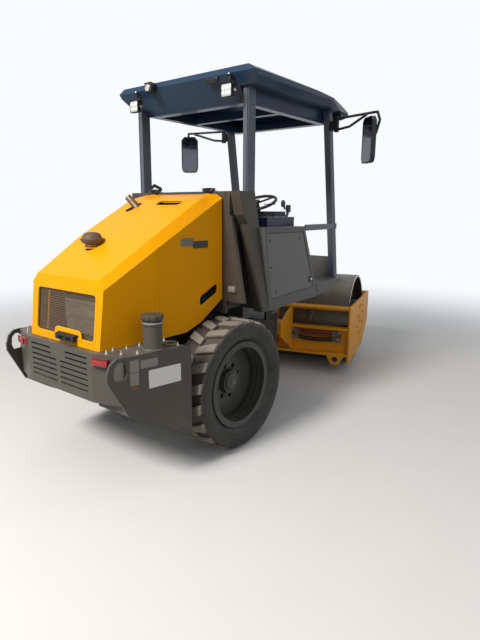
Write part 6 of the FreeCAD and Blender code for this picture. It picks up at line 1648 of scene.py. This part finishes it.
class ROLLER_OT_tyres(Operator):
    """Add the lugged tyres"""

    bl_idname = "roller.tyres"
    bl_label = "Tyres"

    def execute(self, context):
        make_tyres()
        return {"FINISHED"}


class ROLLER_OT_wheel_trim(Operator):
    """Add the wheels' bolt holes, hub caps and rolled edges"""

    bl_idname = "roller.wheel_trim"
    bl_label = "Wheel trim"

    def execute(self, context):
        make_wheel_trim()
        return {"FINISHED"}


class ROLLER_OT_grille(Operator):
    """Add the woven grille and the radiator behind it"""

    bl_idname = "roller.grille"
    bl_label = "Grille"

    def execute(self, context):
        make_grille()
        return {"FINISHED"}


class ROLLER_OT_hood_trim(Operator):
    """Add the hood's rims, badges and grips, and the air intake"""

    bl_idname = "roller.hood_trim"
    bl_label = "Hood trim"

    def execute(self, context):
        make_hood_trim()
        make_intake()
        return {"FINISHED"}


class ROLLER_OT_lamps(Operator):
    """Add the work lamps, the camera lamp and the tail lamps' lenses"""

    bl_idname = "roller.lamps"
    bl_label = "Lamps"

    def execute(self, context):
        make_lamps()
        make_camera_lamp()
        make_tail_lenses()
        return {"FINISHED"}


class ROLLER_OT_mirrors(Operator):
    """Add the mirrors' glass"""

    bl_idname = "roller.mirrors"
    bl_label = "Mirror glass"

    def execute(self, context):
        make_mirror_glass()
        return {"FINISHED"}


class ROLLER_OT_seat(Operator):
    """Add the seat's swollen cushion and backrest"""

    bl_idname = "roller.seat"
    bl_label = "Seat"

    def execute(self, context):
        make_seat()
        return {"FINISHED"}


class ROLLER_OT_bolts(Operator):
    """Add the bolts on the tanks and the drum frame"""

    bl_idname = "roller.bolts"
    bl_label = "Bolts"

    def execute(self, context):
        make_bolts()
        return {"FINISHED"}


class ROLLER_OT_hoses(Operator):
    """Add the hoses in the drum frame's rear beam"""

    bl_idname = "roller.hoses"
    bl_label = "Hoses"

    def execute(self, context):
        make_hoses()
        return {"FINISHED"}


class ROLLER_OT_tank_trim(Operator):
    """Add the filler's neck and cap and the tank's round cover"""

    bl_idname = "roller.tank_trim"
    bl_label = "Tank trim"

    def execute(self, context):
        make_filler_trim()
        return {"FINISHED"}


class ROLLER_OT_plates(Operator):
    """Add the bare plates on the side plate"""

    bl_idname = "roller.plates"
    bl_label = "Bare plates"

    def execute(self, context):
        make_blank_plates()
        return {"FINISHED"}


class ROLLER_OT_cab_trim(Operator):
    """Add the console's and the roof's small pieces"""

    bl_idname = "roller.cab_trim"
    bl_label = "Cab trim"

    def execute(self, context):
        make_console_trim()
        make_roof_trim()
        return {"FINISHED"}


class ROLLER_OT_drum_trim(Operator):
    """Add the strut on the drum's frame"""

    bl_idname = "roller.drum_trim"
    bl_label = "Drum trim"

    def execute(self, context):
        make_drum_trim()
        return {"FINISHED"}


OPERATORS = (
    ROLLER_OT_stage,
    ROLLER_OT_finishes,
    ROLLER_OT_tyres,
    ROLLER_OT_wheel_trim,
    ROLLER_OT_grille,
    ROLLER_OT_hood_trim,
    ROLLER_OT_lamps,
    ROLLER_OT_mirrors,
    ROLLER_OT_seat,
    ROLLER_OT_bolts,
    ROLLER_OT_hoses,
    ROLLER_OT_tank_trim,
    ROLLER_OT_plates,
    ROLLER_OT_cab_trim,
    ROLLER_OT_drum_trim,
)


class ROLLER_PT_looks(Panel):
    """Sizes, colours and steps of the roller's looks"""

    bl_label = "Road roller"
    bl_idname = "ROLLER_PT_looks"
    bl_space_type = "VIEW_3D"
    bl_region_type = "UI"
    bl_category = "Road roller"

    def draw(self, context):
        for group in (context.scene.roller_sizes, context.scene.roller_colours):
            column = self.layout.column(align=True)
            for name in group.__annotations__:
                column.prop(group, name)
        column = self.layout.column(align=True)
        for operator in OPERATORS:
            column.operator(operator.bl_idname)


CLASSES = (RollerSizes, RollerColours, *OPERATORS, ROLLER_PT_looks)


def register():
    for each in CLASSES:
        bpy.utils.register_class(each)
    bpy.types.Scene.roller_sizes = PointerProperty(type=RollerSizes)
    bpy.types.Scene.roller_colours = PointerProperty(type=RollerColours)


def unregister():
    del bpy.types.Scene.roller_colours
    del bpy.types.Scene.roller_sizes
    for each in reversed(CLASSES):
        bpy.utils.unregister_class(each)


def main():
    register()
    for operator in OPERATORS:
        getattr(bpy.ops.roller, operator.bl_idname.split(".")[1])()


if __name__ == "__main__":
    main()
